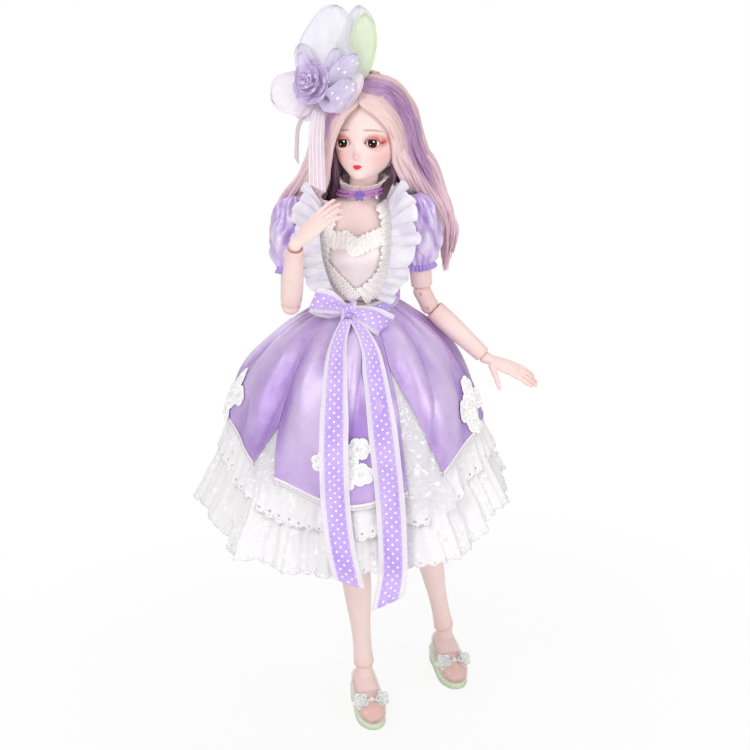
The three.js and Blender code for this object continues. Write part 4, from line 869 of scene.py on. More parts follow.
LACE_BANDS = {
    "neckline_lace": ([(-28, 488), (-16, 484.5), (-6, 485.5), (1, 479), (8, 481.5), (18, 484.5),
                       (31, 488)], 7.5),
    "band_lace_r": ([(-21, 514), (-25, 500), (-29, 487), (-32, 470), (-34, 452), (-33, 438)], 9.0),
    "band_lace_l": ([(30, 514), (34, 500), (34, 485), (33, 468), (28, 452), (18, 440), (5, 431)], 9.0),
    "point_lace": ([(-31, 466), (-23, 456), (-14, 445), (-5, 435), (1, 429)], 6.0),
}
BAND_STEPS, BAND_SPAN = 150, 21
chance = np.random.default_rng(3)
for order, (name, (line, half)) in enumerate(LACE_BANDS.items()):
    path = route(line, BAND_STEPS)
    lean = leaning(path)
    side = np.stack([lean[:, 1], -lean[:, 0]], 1)
    span = linspace(-1, 1, BAND_SPAN)
    run = np.arange(BAND_STEPS)
    ragged = (1 + 0.09 * sin(run * 0.53) + 0.07 * sin(run * 1.37 + order)
              + 0.05 * chance.normal(0, 1, BAND_STEPS))
    flat = path[:, None] + side[:, None] * (half * ragged)[:, None, None] * span[None, :, None]
    pucker = sin(run * 0.62 + order)[:, None] * cos(2.3 * span + order)
    pucker = (pucker + 0.8 * sin(run * 1.31 + 2 * order)[:, None] * sin(3.1 * span)
              + 0.16 * chance.normal(0, 1, (BAND_STEPS, BAND_SPAN)))
    grow = 3.8 + 0.35 * order + 0.7 * pucker
    grid = on_trunk(flat[..., 0], flat[..., 1], grow)
    band = laid_grid(name, grid, cotton_lace, thick=0.5)
    dress(band, "chest")

# Yoke and collar: sheer dotted mesh over the top of the chest, run up into a standing ruffle.
# A double cord with a small violet flower is tied round the foot of the collar.
mesh_net, mesh_at = finish("yoke_net", "cut", Roughness=0.6, Specular_IOR_Level=0.2)
mesh_dots = mesh_at.cells(7.5, 0.5).step(0.10, 0.16)
mesh_dots.mix("ffffff", "fff3f4").to("Base Color")
fold = mesh_at.mark("rim")
threads = mesh_at.cells(0.8, 0.1).step(0.2, 0.45)
((1 - mesh_dots) * 0.5 + threads * 0.05 + fold * 0.6 + 0.06).to("Alpha")
mesh_at.cells(0.8, 0.1).bump(0.08)
COLLAR = np.array([(512, 2, 24.5, 18, 19.5), (517, 5.5, 19.5, 18, 18.5), (523, 7, 18.2, 18, 18.2),
                   (529, 8.6, 18.6, 18.5, 18.5), (536, 10.2, 22.5, 22.5, 22)])
COLLAR_TOP, RUFFLE_FROM, YOKE_SIDES = 536, 524, 216
yoke_rows = [trunk_ring(z, 1.1, YOKE_SIDES) for z in linspace(488, 511, 20)]
turns = even_turns(YOKE_SIDES)
ripple = cos(19 * turns + 0.8 * sin(3 * turns)) + 0.4 * cos(31 * turns)
for z in linspace(512.5, COLLAR_TOP, 26):
    middle_x, wide, fore, aft = flow(COLLAR[:, 0], COLLAR[:, 1:], np.array([z]))[0]
    ruffled = clip((z - RUFFLE_FROM) / (COLLAR_TOP - RUFFLE_FROM), 0, 1)
    wave = 2.1 * ruffled ** 1.3 * ripple
    dip = 5.0 * ruffled * clip(cos(turns), 0, 1) ** 1.5
    height = z + 0.12 * wave * (z > 530) - dip
    yoke_rows.append(oval(turns, wide + wave, fore + wave, aft + wave, height, middle_x))
run = np.arange(len(yoke_rows)) - len(yoke_rows)
rim = (0.45 * clip((run + 20) / 10, 0, 1) + 0.55 * clip((run + 4) / 3, 0, 1))[:, None]
yoke = laid_grid("yoke_and_collar", yoke_rows, mesh_net, wrap=True, thick=0.25, marks={"rim": rim})
dress(yoke, "chest", "yoke_collar")

cord_silk, cord_at = finish("cord_silk", "cut", Roughness=0.4)
u, v, _ = cord_at.split()
strands = (u * 0.6 + v).wave(1.3)
strands.mix("b257c8", "dd9ce8").to("Base Color")
strands.bump(0.2)


def tube(path, radius, sides):
    """Rings round a path, kept from twisting by a fixed sideways direction at each point."""
    lean = leaning(path)
    helper = np.where(np.abs(lean[:, 2:]) < 0.8, np.array((0, 0, 1.0)), np.array((0, 1.0, 0)))
    side = unit(np.cross(lean, helper))
    other = np.cross(side, lean)
    angle = even_turns(sides)
    return (path[:, None] + radius
            * (cos(angle)[:, None] * side[:, None] + sin(angle)[:, None] * other[:, None]))


CHOKER_RADIUS, CORD_RADIUS = 20.2, 1.15
for level, name in ((521.0, "choker_low"), (524.6, "choker_high")):
    angle = linspace(0, 2 * pi, 121)
    middle_x = np.interp(level, COLLAR[:, 0], COLLAR[:, 1])
    loop = oval(angle, *[CHOKER_RADIUS] * 3, level + 0.7 * cos(angle), middle_x)
    ring = laid_grid(name, tube(loop, CORD_RADIUS, 12), cord_silk, wrap=True)
    dress(ring, "chest", "choker" if name == "choker_low" else None)

violet = mottled("violet_felt", "6a52b4", "a08ade", (1.2, 3), (0.5, 2), 0.15, "cut", Roughness=0.6)
angle = even_turns(60)
share = linspace(0.02, 1, 12)[:, None]
size = 4.0 * share * (1 + 0.24 * share * cos(5 * angle))
lift = 1.6 * sin(share * 2.6) + 0.5 * share * cos(5 * angle)
blossom = np.stack([6.4 + size * sin(angle), -21.6 - lift, 522.4 + size * cos(angle)], -1)
flower = laid_grid("choker_blossom", blossom, violet, wrap=True, thick=0.8)
dress(flower, "chest", "choker_flower")

# Puff sleeves: lilac satin gathered at the armhole and over the arm, with a frilled violet cuff.
# Each sleeve is one tube round the upper arm, and its cuff frill turns with the upper arm.


lilac_satin = satin("lilac_satin", "f3e6ff", "ab80d8", 0.28)
violet_satin = satin("violet_satin", "c3a6ee", "a484dc", 0.42)
SLEEVE = [(-49, 12.4, 12.4, 12.4), (-45, 15, 15.5, 15), (-38, 19, 20.5, 19.5), (-26, 21, 22.5, 22),
          (-12, 20.5, 22, 21.5), (-2, 19, 20, 19.6), (7, 16.6, 17, 16.6), (13, 11, 11, 11),
          (16.4, 4, 4, 4)]
SLEEVE_SIDES = 168
for key, side in SIDES.items():
    shoulder, elbow = pivot(f"shoulder_raise_{key}"), pivot(f"elbow_upper_{key}")
    down = unit(elbow - shoulder)
    fore = unit(np.array((0, -1.0, 0)) + down * down[1])
    out = side * np.cross(fore, down)
    out = out if out[0] * side > 0 else -out
    table = np.array(SLEEVE)
    turns = even_turns(SLEEVE_SIDES)
    rows, fold_shades = [], []
    for z in linspace(table[0, 0], table[-1, 0], 62):
        size = flow(table[:, 0], table[:, 1:], np.array([z]))[0]
        ring = level_ring(shoulder - z * down, out, fore, size, SLEEVE_SIDES)
        gather = 1.8 * exp(-abs(z - 8) / 11) + 1.6 * exp(-(z + 49) / 10)
        belly = exp(-((z + 22) / 26) ** 2)
        wave = gather * cos(17 * turns + 0.6 * sin(3 * turns + z / 9)) * min(1, size[0] / 12)
        dent = np.abs(cos(2.5 * turns + z / 15 + 0.7 * side)) ** 0.6 - 0.75
        wave = wave + belly * (4.4 * dent + 1.9 * cos(5 * turns - z / 7 + side)
                               + 0.9 * cos(9 * turns + z / 5))
        away = unit(ring - (shoulder - z * down))
        rows.append(ring + wave[:, None] * away + 1.2 * belly * down)
        # painted shade: darker in the valleys of the puff's folds, read by the satin as its fold mark
        fold_shades.append(clip(0.42 - wave / 5, 0, 1))
    puff = laid_grid(f"puff_sleeve_{key}", rows, lilac_satin, wrap=True, thick=0.6,
                     marks={"fold": np.array(fold_shades)})
    in_frame(shoulder + 30 * down)
    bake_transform(puff)
    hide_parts(f"sleeve_{key}")
    rows = []
    for share in linspace(0, 1, 14):
        z = -44 - 11 * share
        flare = 12.6 + 3.4 * abs(share - 0.35) ** 1.2
        ripple = (0.5 + 1.5 * abs(share - 0.35)) * cos(24 * turns + 0.7 * sin(5 * turns))
        ring = level_ring(shoulder - z * down, out, fore, flare, SLEEVE_SIDES)
        rows.append(ring + ripple[:, None] * unit(ring - (shoulder - z * down)))
    cuff = laid_grid(f"cuff_frill_{key}", rows, violet_satin, wrap=True, thick=0.6)
    dress(cuff, f"upper_arm_{key}")

# Shoulder frills: bands of pale pleated organza, sewn from the waist up over each shoulder.
# The inner edge lies under the lace and the outer edge stands away in loose flutes.


def strip_grid(path, *sides):
    """Grid about a path: each side has a direction at every step and a table of distances."""
    return path[:, None] + sum(way[:, None] * far[..., None] for way, far in sides)


organza_pale, pale_at = finish("organza_pale", "cut", Roughness=0.45, Sheen_Weight=0.2)
u, v, _ = pale_at.split()
weave = (u.wave(0.5) + v.wave(0.5)) * 0.5
pale_at.noise(18, 2).step(0.3, 0.7).mix("fdfbff", "ece6f8").to("Base Color")
rim = pale_at.mark("rim")
(rim * 0.1 + 0.88).to("Alpha")
weave.bump(0.06)
FRILL = [(19, -36, 429, 0.8, -0.6, -0.1, 15), (27, -40, 448, 0.8, -0.6, 0, 20),
         (32, -42.5, 468, 0.85, -0.5, 0.1, 24), (34, -37, 486, 0.85, -0.4, 0.25, 26),
         (34, -25, 503, 0.75, -0.3, 0.6, 26), (32, -10, 513, 0.6, -0.05, 0.8, 22),
         (30, 8, 513, 0.6, 0.1, 0.8, 16)]
FRILL_STEPS = 260
for key, side in SIDES.items():
    table = route(FRILL, FRILL_STEPS)
    root, lean, width = table[:, :3].copy(), unit(table[:, 3:6]), table[:, 6]
    root[:, 0] = TRUNK_X + side * (root[:, 0] - TRUNK_X)
    lean = lean * (side, 1, 1)
    stand = unit(np.cross(lean, np.gradient(root, axis=0)) * side)
    run = linspace(0, 1, FRILL_STEPS)
    span = linspace(0, 1, 16)
    phase = 2 * pi * (13 * run + 0.4 * sin(9 * run) + 0.2 * sin(23 * run + side))
    fine = sin(2.7 * phase + 1)[:, None] * (0.5 + 0.5 * (1 - span)) * span ** 0.5
    flute = sin(phase)[:, None] * span ** 0.9 * 3.6 + 0.9 * fine
    drift = cos(phase)[:, None] * span ** 1.1 * 2.6
    ragged = (1 + 0.12 * sin(phase * 0.37 + 1))[:, None] * span
    grid = strip_grid(root, (lean, width[:, None] * ragged), (stand, flute), (leaning(root), drift))
    frill = laid_grid(f"shoulder_frill_{key}", grid, organza_pale, thick=0.35,
                      marks={"rim": span[None, :] ** 8})
    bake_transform(frill)
    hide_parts(f"frill_{key}")

# Petticoat: a plain white lining that carries two gathered tiers of eyelet lace.
# Each tier ends in scallops, and small pearls are sewn here and there on the lace.
BELL_TOP, BELL_CURVE = 416, 50
BELL_WIDE, BELL_FORE, BELL_AFT = 36.8, 30.8, 28.8
BELL_WIDER, BELL_DEEPER, BELL_ASIDE = 94, 78, 9
LINING_TOP = 350
EYELET = 9.0


def bell_spread(z):
    """How much of its full flare the skirt has at a height, from 0 to 1."""
    return 1 - exp(-(BELL_TOP - z) / BELL_CURVE)


def bell(turn, z, margin):
    """Surface of the full skirt: turn is 0 at the front, and margin is the distance outside it."""
    spread = bell_spread(z)
    margin = margin + 3.5 * spread ** 3 * cos(9 * turn + 0.8)
    depth = BELL_DEEPER * spread + margin
    return oval(turn, BELL_WIDE + BELL_WIDER * spread + margin, BELL_FORE + depth, BELL_AFT + depth, z,
                TRUNK_X - BELL_ASIDE * spread)


def satin_level(turn):
    return 283 - 26 * cos(2 * turn) + 8 * np.maximum(-sin(turn), 0)


def lace_level(turn):
    return 196 + 44 * sin(turn) ** 4


def lace_margin(turn, z):
    """How far the lace stands inside or outside the bell: it flares below the satin's hem."""
    below = np.maximum(satin_level(turn) - 3 - z, 0)
    return -6.8 + 0.0028 * below ** 2 + 0.12 * below


def eyelet(name):
    """White eyelet lace, laid with v as the height over its hem: holes along it and flowers above."""
    material, at = finish(name, "cut", Roughness=0.85, Specular_IOR_Level=0.15, Sheen_Weight=0.3)
    u, v, _ = at.split()
    beat = u.beat(EYELET) - 0.5
    small = u.beat(EYELET / 3) - 0.5
    hole = ((beat * EYELET) ** 2 + (v - 5.0) ** 2).step(0.9, 2.0)
    pins = ((small * EYELET / 3) ** 2 + (v - 1.6) ** 2).step(0.12, 0.34)
    sprig = at.cells(7.5, 0.9)
    flowers = 1 - sprig.step(0.20, 0.36)
    centre = 1 - sprig.step(0.05, 0.09)
    net = at.cells(1.1, 0.3).step(0.25, 0.5)
    # painted shade: away from the flowers and net the lace is a shade darker
    (flowers * 0.5 + net * 0.3 + 0.2).mix("f5f1f5", "ffffff").to("Base Color")
    cover = (hole * pins * 0.65 + 0.35) * (net * 0.1 + flowers * 0.2 + 0.88)
    cover.capped().to("Alpha")
    (flowers - centre * 0.7 + net * 0.3 - (1 - hole) * 0.5).bump(0.28)
    return material


white_cotton, cotton_at = finish("white_cotton", "cut", Roughness=0.85, Specular_IOR_Level=0.15)
cotton_at.noise(24, 3).step(0.3, 0.7).mix("ffffff", "f6f2f6").to("Base Color")
(cotton_at.cells(0.7, 0.1) + cotton_at.noise(6, 2)).bump(0.1)
turns = even_turns(200)
share = linspace(0, 1, 40)[:, None]
z = LINING_TOP + share * (lace_level(turns) + 12 - LINING_TOP)
grid = bell(turns, z, lace_margin(turns, z) - 2.5 + 1.2 * share * cos(40 * turns))
lining = laid_grid("petticoat_lining", grid, white_cotton, wrap=True, thick=0.5)
dress(lining, "pelvis", "petticoat")

SCALLOPS, SCALLOP_DEEP = 84, 2.6
turns = even_turns(SCALLOPS * 12)
scallop = np.abs(sin(SCALLOPS * turns / 2)) ** 0.7
chance = np.random.default_rng(8)
tier_grids = {}


def gathers(turn, count):
    """Uneven gathers: waves of about that many to the round, each with its own depth and drift."""
    depth = 0.75 + 0.4 * sin(7 * turn + 1.3 * count) + 0.25 * sin(19 * turn + count)
    phase = count * turn + 1.6 * sin(5 * turn + count) + 0.9 * sin(13 * turn + 2 * count)
    slow = cos(14 * turn + 1.8 * sin(4 * turn + count)) + 0.6 * cos(23 * turn + 2.2 * sin(3 * turn))
    return 0.8 * depth * cos(phase) + 0.3 * cos(2.1 * phase + 3 * sin(3 * turn)) + 1.1 * slow


for name, high, low, waves, swell, tilt in (
    ("lace_tier_upper", lambda t: satin_level(t) + 12,
     lambda t: satin_level(t) * 0.60 + lace_level(t) * 0.40 - 4, 36, 2.2, 3.2),
    ("lace_tier_lower", lambda t: satin_level(t) * 0.72 + lace_level(t) * 0.28, lace_level, 40, 3.2, 0.8),
):
    share = linspace(0, 1, 30)[:, None]
    drop = high(turns) + share * (low(turns) - high(turns))
    z = drop - SCALLOP_DEEP * scallop * share ** 6 + 2.2 * share ** 2 * sin(11 * turns + waves)
    wave = gathers(turns + 0.004 * sin(9 * share + 6 * turns), waves)
    crumple = 0.7 * sin(61 * turns + 8 * share) * sin(17 * turns - 5 * share)
    stand = lace_margin(turns, drop) + tilt + swell * (0.3 + 0.7 * share) * wave + crumple + 2.4 * share
    tier_grids[name] = grid = bell(turns, z, stand)
    heights = z - low(turns) + SCALLOP_DEEP
    tier = laid_grid(name, grid, eyelet(name), wrap=True, thick=0.4,
                     u=linspace(0, SCALLOPS * EYELET, len(turns) + 1),
                     v=np.concatenate([heights, heights[:, :1]], 1))
    dress(tier, "pelvis")

pearl_gloss = mottled("pearl_gloss", "fffaf2", "ece2e0", (1.5, 2), (0.8, 2), 0.02, Roughness=0.16,
                      Coat_Weight=0.6)


def beads(name, points, radius):
    """Pearls at several places, as one mesh."""
    edit = bmesh.new()
    for point in points:
        bmesh.ops.create_uvsphere(edit, u_segments=14, v_segments=9, radius=radius / 1000,
                                  matrix=Matrix.Translation(in_frame(point)))
    mesh = bpy.data.meshes.new(name)
    edit.to_mesh(mesh)
    edit.free()
    return put_in_scene(name, mesh, pearl_gloss)


spots = []
for name, rows in tier_grids.items():
    for _ in range(22):
        row, column = chance.integers(8, 22), chance.integers(0, len(turns))
        away = unit(rows[row, column] * (1, 1, 0))
        spots.append(rows[row, column] + 1.2 * away)
pearls = beads("sewn_pearls", spots, 1.7)
dress(pearls, "pelvis")

# Skirt: four panels of lilac satin gathered into the waist, open at the seams towards the hem.
# A picot braid edges each panel, and lace gores hang in the openings.
skirt_satin = satin("skirt_satin", "efdcfd", "a679d2", 0.28, 150)
SLITS = {"front_l": (21, 22, 38, 108), "front_r": (-37, -46, -35, 42), "back_l": (132, 124, 140, 45),
         "back_r": (-132, -140, -124, 45)}
PANELS = {"front": ("front_r", "front_l"), "left": ("front_l", "back_l"), "back": ("back_l", "back_r"),
          "right": ("back_r", "front_r")}
PICOT, BRAID_DROP, SEAM_GAP = 2.2, 5.4, 0.003
picot, picot_at = finish("picot_braid", "cut", Roughness=0.8, Sheen_Weight=0.2)
u, v, _ = picot_at.split()
ladder = u.beat(PICOT) - 0.5
loops = ((ladder * PICOT) ** 2 + (v - PICOT) ** 2).step(0.25, 0.5)
loops.mix("d9c2ea", "fdf6fb").to("Base Color")
(loops * 0.7 + 0.3).to("Alpha")
(u.wave(1.1) * 0.6 + loops).bump(0.3)


def slit_edges(slit, above):
    """Left and right edge of a slit in radians, at heights above the satin's hem."""
    apex, left, right, tall = SLITS[slit]
    opened = clip(1 - above / tall, 0, None) ** 0.85
    return [np.radians(apex + (edge - apex) * opened) for edge in (left, right)]


def satin_fold(turn, z):
    """How far the satin's pleats and folds stand out from the bell."""
    down = clip((BELL_TOP + 2 - z) / (BELL_TOP + 2 - satin_level(turn)), 0, 1)
    pleat = 2.4 * exp(-down * 3.6) * cos(22 * turn + 1.4 * sin(5 * turn))
    swell = 3.6 * cos(6 * turn + 2.2 * down + 0.4) + 2.6 * cos(11 * turn - 3.1 * down)
    swell = (swell + 1.4 * cos(17 * turn + 4 * down)
             + 1.6 * cos(4 * turn + 9 * down) * cos(7 * turn - 5 * down))
    swell = swell + 6.5 * (np.abs(cos(4.5 * turn + 1.3 * down + 0.9)) ** 0.6 - 0.75)
    by_hand = 1 - 0.95 * exp(-((turn - 1.4) / 0.5) ** 2)
    swell = np.where(swell > 0, 7.0 * np.tanh(swell / 7.0) * by_hand, 9.0 * np.tanh(swell / 8.5))
    return 1.4 + pleat + swell * sin(pi * down) ** 0.6


def panel_point(first, last, across, down, margin):
    """Point of a panel between two slits: across from 0 to 1, down from the waist to the hem. Also gives
    a painted shade mask, higher in the valleys of the satin's folds.
    """
    edges = []
    for slit, which in ((first, 1), (last, 0)):
        above = (1 - down) * (BELL_TOP - satin_level(math.radians(SLITS[slit][0])))
        edges.append(slit_edges(slit, above)[which] + (SEAM_GAP if which else -SEAM_GAP))
    if edges[1].min() < edges[0].max():
        edges[1] = edges[1] + 2 * pi
    turn = edges[0] + across * (edges[1] - edges[0])
    z = BELL_TOP + 2 + down * (satin_level(turn) - BELL_TOP - 2)
    curl = 1.4 * down ** 3 * (exp(-across * 14) + exp(-(1 - across) * 14))
    fold = satin_fold(turn, z)
    # painted shade: the second value darkens the satin's colour in the fold valleys
    return bell(turn, z, margin + fold + curl), clip(0.4 - (fold - 1.4) / 13, 0, 1)


for panel, (first, last) in PANELS.items():
    across, down = np.meshgrid(linspace(0, 1, 150), linspace(0, 1, 76))
    # fold here is the painted shade mask of the folds' valleys
    grid, fold = panel_point(first, last, across, down, 0)
    made = laid_grid(f"skirt_panel_{panel}", grid, skirt_satin, thick=0.6, marks={"fold": fold})
    dress(made, "pelvis", "skirt" if panel == "front" else None)
    across, drop = np.meshgrid(linspace(0, 1, 260), linspace(0, 1, 5))
    hem = panel_point(first, last, across, np.ones_like(across), 0.6)[0]
    hem[..., 2] += 1.4 - BRAID_DROP * drop
    hem[..., :2] *= 1 + 0.004 * drop[..., None]
    braid = laid_grid(f"picot_braid_{panel}", hem, picot, thick=0.6, v=linspace(BRAID_DROP, 0, 5))
    dress(braid, "pelvis")

sheer_lace, sheer_at = finish("sheer_lace", "cut", Roughness=0.75, Specular_IOR_Level=0.2,
                              Sheen_Weight=0.3)
drift = sheer_at.add("TexNoise", {}, {"Vector": sheer_at, "Scale": 1 / 8, "Detail": 1.0}, "Color")
bent = drift.add("VectorMath", {"operation": "MULTIPLY_ADD"}, {0: drift, 1: (5, 5, 0), 2: sheer_at})
sprig = bent.cells(7.0, 1.0)
petals = (1 - sprig.step(0.16, 0.34)) * bent.cells(1.9, 0.7).step(0.12, 0.3)
vine = sheer_at.noise(11, 1) - 0.5
stems = 1 - abs(vine).step(0.008, 0.022)
rim = sheer_at.mark("rim")
motif = (petals + stems * 0.7 + rim).capped()
motif.mix("faf6fd", "ffffff").to("Base Color")
solid = sheer_at.mark("solid")
((motif * 0.42 + sheer_at.cells(0.7, 0.1) * 0.12 + 0.52) * solid).to("Alpha")
(motif + sheer_at.cells(0.7, 0.2) * 0.3).bump(0.22)
GORE_DROP = {"front_l": 30, "front_r": 20, "back_l": 24, "back_r": 24}
for slit, (apex, left, right, tall) in SLITS.items():
    level = float(satin_level(math.radians((left + right) / 2)))
    across, down = np.meshgrid(linspace(0, 1, 44), linspace(0, 1, 72))
    above = tall + 4 - down * (tall + 4 + GORE_DROP[slit])
    edges = slit_edges(slit, clip(above, -6, None))
    wider = np.radians(2.4) * clip(1.1 - above / tall, 0.25, 1)
    turn = edges[0] - wider + across * (edges[1] - edges[0] + 2 * wider)
    z = level + above - 3 * down ** 10 * np.abs(sin(across * 12))
    over = clip(-above / 10, 0, 1)
    under = satin_fold(turn, np.maximum(z, level)) - 1.6
    hang = under + over * (lace_margin(turn, z) + 9.9 - under)
    ripple = ((0.5 + 1.6 * over) * cos(9 * across + 1.5 * down + apex) * down
              + over * 0.9 * cos(19 * across + apex))
    edge = np.abs(2 * across - 1) ** 24 * (above > -2)
    solid = clip((above + GORE_DROP[slit]) / 26, 0, 1)
    grid = bell(turn, z, hang + ripple)
    gore = laid_grid(f"lace_gore_{slit}", grid, sheer_lace, thick=0.3,
                     marks={"rim": edge, "solid": solid})
    f"skirt_panel_{slit.split('_')[0]}"
    dress(gore, "pelvis")

# Lace flowers: three guipure motifs sewn flat on the skirt, each a ring of small round blossoms
# with open eyelets, and a bead at every middle.
guipure, guipure_at = finish("guipure", "cut", Roughness=0.85, Sheen_Weight=0.3)
web = guipure_at.cells(1.5, 0.3)
threads = web.step(0.18, 0.36)
edge = guipure_at.mark("rim")
firm = (threads + edge).capped()
firm.mix("f0eaf6", "ffffff").to("Base Color")
(firm * 0.3 + 0.7).to("Alpha")
firm.bump(0.3)
SIDE_BLOOMS = [(0, 0, 11), (4, 16, 9), (-4, -16, 9), (14, 3, 9), (-14, -3, 9)]
centres = []
for name, middle, level, blooms in (
    ("lace_flower_front", -5, 297,
     [(0, 0, 11), (14, -12, 9), (-13, 2, 9), (13, 11, 9), (0, -17, 9), (-4, 15, 8)]),
    ("lace_flower_left", 69, 324, SIDE_BLOOMS),
    ("lace_flower_right", -78, 337, SIDE_BLOOMS),
):
    made = []
    for order, (right_by, up_by, size) in enumerate(blooms):
        angle = even_turns(120)
        share = linspace(0.02, 1, 16)[:, None]
        lobes = np.abs(sin(3 * angle + order))
        picots = 0.06 * clip(cos(30 * angle), 0, 1) * (share > 0.93)
        reach = size * share * (0.92 + 0.22 * lobes ** 0.7 * share + picots)
        here = bell(np.array(math.radians(middle)), np.array(float(level)), 0)
        turn = math.radians(middle) + (right_by + reach * sin(angle)) / max(np.linalg.norm(here[:2]), 60)
        z = level + up_by + reach * cos(angle)
        lift = 1.2 + 0.5 * (order > 0) + 1.2 * lobes * sin(share * 2.8)
        grid = bell(turn, z, satin_fold(turn, z) + lift)
        ribs = (share > 0.86) + (np.abs(share - 0.5) < 0.08) + (lobes < 0.12)
        made.append(laid_grid("bloom", grid, guipure, wrap=True, thick=0.7, marks={"rim": ribs}))
        centres.append(grid[0].mean(0) + unit(grid[0].mean(0) * (1, 1, 0)))
    motif = joined(name, made)
    dress(motif, "pelvis")
flower_beads = beads("flower_beads", centres, 1.9)
dress(flower_beads, "pelvis")

# Sash, bow and tails: one dotted ribbon with a satin middle and sheer edges.
# It goes round the waist and is tied in front, and its two tails hang to below the lace.
RIBBON, SASH_ROWS, TAIL_POINTS = 13.2, 22, 18
ribbon_dots, dots_at = finish("ribbon_dots", "cut", Roughness=0.36, Specular_IOR_Level=0.6,
                              Sheen_Weight=0.2)
u, v, _ = dots_at.split()
lattice = dots_at.add("CombineXYZ", {}, {0: (u + v) / 8.2, 1: (u - v) / 8.2})
spot = 1 - lattice.cells(1.0, 0.0).step(0.15, 0.20)
off_middle = abs(u)
middle_share = 1 - off_middle.step(7.6, 8.0)
seam = abs(off_middle - 8.0).step(0.3, 0.6)
rim_line = off_middle.step(12.2, 12.7)
tone = dots_at.stretch(1, 0.5).noise(30, 2).step(0.32, 0.7).mix("d2b8f5", "b694e8")
tone = (spot * middle_share).mix(tone, "ffffff")
tone = middle_share.mix(seam.mix("c2a4ee", "fbf4ff"), tone)
rim_line.mix(tone, "fcf8ff").to("Base Color")
cover = middle_share + (1 - seam) * 0.6 + rim_line * 0.3 + 0.64
cover.capped().to("Alpha")
((u.wave(0.5) + v.wave(0.5)) * 0.3 + spot).bump(0.08)


def ribbon(name, path, across, half, node, pinch, steps=160, slant=0.0):
    """Length of the dotted ribbon along a path, with the direction of its width at each point."""
    line, share = route(path, steps), linspace(0, 1, steps)
    wide = unit(flow(linspace(0, 1, len(across)), across, share))
    span = linspace(-1, 1, 25)
    half = np.interp(share, linspace(0, 1, len(half)), half)
    lean = leaning(line)
    stand = unit(np.cross(lean, wide))
    curl = pinch(share[:, None], span)
    cut = slant * clip(linspace(-9, 1, steps), 0, 1)[:, None] * span
    grid = strip_grid(line, (wide, half[:, None] * span), (stand, curl), (lean, cut))
    made = laid_grid(name, grid, ribbon_dots, thick=0.35, u=RIBBON * span)
    dress(made, "pelvis", node)


turns = even_turns(200)
share = linspace(0, 1, SASH_ROWS)[:, None]
level = 412 + 14 * share + 9 * sin(turns) ** 2 - 3 * cos(turns) * (cos(turns) > 0)
crease = 0.55 * cos(9 * share * pi + 2 * sin(3 * turns)) * (0.4 + np.abs(sin(turns * 1.5)))
grid = oval(turns, 38.4 + crease, 33.2 + crease, 31.4 + crease, level, TRUNK_X)
around = lengths(np.concatenate([grid[10], grid[10, :1]]))
sash = laid_grid("waist_sash", grid, ribbon_dots, wrap=True, thick=0.5,
                 u=linspace(-RIBBON, RIBBON, SASH_ROWS)[:, None],
                 v=np.broadcast_to(around, (SASH_ROWS, len(around))))
dress(sash, "pelvis", "sash")

KNOT = np.array((-7, -42, 420.5))
LOOPS = {"bow_loop_r": ((-38, -45, 434), (0.28, -0.3, 1)),
         "bow_loop_l": ((26, -46, 409), (0.8, -0.25, 1))}
LOOP_PATH = [(0.02, 1, 1, 0.3), (0.25, 5, 3, 0.62), (0.55, 9, 4, 0.85), (0.82, 10, 2.5, 0.98),
             (1.02, 6.5, 0, 1), (1.02, 1.5, -2, 1), (0.75, 0.5, -4, 0.95), (0.45, 0.5, -4, 0.8),
             (0.2, 0.5, -2, 0.55), (0.02, 0.5, -1, 0.3)]
for name, (tip, wide) in LOOPS.items():
    tip = np.array(tip, float)
    path = [KNOT + share * (tip - KNOT) + (0, -fore, rise) for share, fore, rise, _ in LOOP_PATH]
    halves = [RIBBON * part for *_, part in LOOP_PATH]
    pucker = (lambda t, s: 1.6 * cos(6 * s + 3 * t) * exp(-np.minimum(t, 1 - t) * 8)
              + 0.9 * cos(3 * s + 9 * t))
    ribbon(name, path, [(0, -0.1, 1)] + [wide] * 8 + [(0, -0.1, 1)], halves,
           "bow" if name.endswith("r") else None, pucker)
wrap_path = [KNOT + (0.8 * sin(a), -5.6 * cos(a) + 0.5, 8.0 * sin(a)) for a in linspace(0, 2 * pi, 40)]
ribbon("bow_knot", wrap_path, [(1, 0.05, 0.25)] * 2, [6.5, 7.4, 6.5, 7.4, 6.5],
       None, lambda t, s: 0.9 * cos(7 * s + 2 * t))
TAILS = {
    "r": ([(-9, 414), (-17, 396), (-21, 368), (-23, 335), (-24.5, 300), (-24.5, 262), (-21.5, 225),
           (-15, 190)], 0.4, 5.0),
    "l": ([(-2, 414), (9, 398), (15, 368), (19, 335), (22, 300), (24.5, 262), (25.5, 222), (24.5, 190),
           (19, 164)], 1.9, -9.0),
}
for key, (points, phase, slant) in TAILS.items():
    path, wide = [], []
    for share, (x, z) in zip(linspace(0, 1, TAIL_POINTS), route(points, TAIL_POINTS)):
        spread = bell_spread(min(z, BELL_TOP - 1))
        turn = math.asin((x - TRUNK_X + BELL_ASIDE * spread) / (BELL_WIDE + BELL_WIDER * spread))
        level = max(z, 205)
        flare = max(float(lace_margin(np.array(turn), np.array(level))) + 9.5, 0) if z < 262 else 0
        below = satin_fold(turn + np.radians((-6, -3, 0, 3, 6)), np.full(5, float(level)))
        lie = 2.0 + flare + max(below.max(), 1.0) + 2.6 * exp(-((z - 297) / 30) ** 2)
        y = min(float(bell(np.array(turn), np.array(level), lie)[1]), -46 - 5 * min(1, share * 6))
        path.append((x, y - 1.4 * sin(9 * share + phase), z))
        wide.append((1, -0.16 * sin(6 * share + phase), 0.12 * sin(4 * share)))
    cut_end = (lambda t, s: 1.3 * cos(2.2 * s + 7 * t) * exp(-t * 2) + 0.8 * s * s * cos(10 * t)
               + 0.6 * cos(13 * t + s))
    ribbon(f"ribbon_tail_long_{key}", path, wide, [5, 10.5] + [RIBBON] * 4,
           f"ribbon_tail_{key}", cut_end, 240, slant)

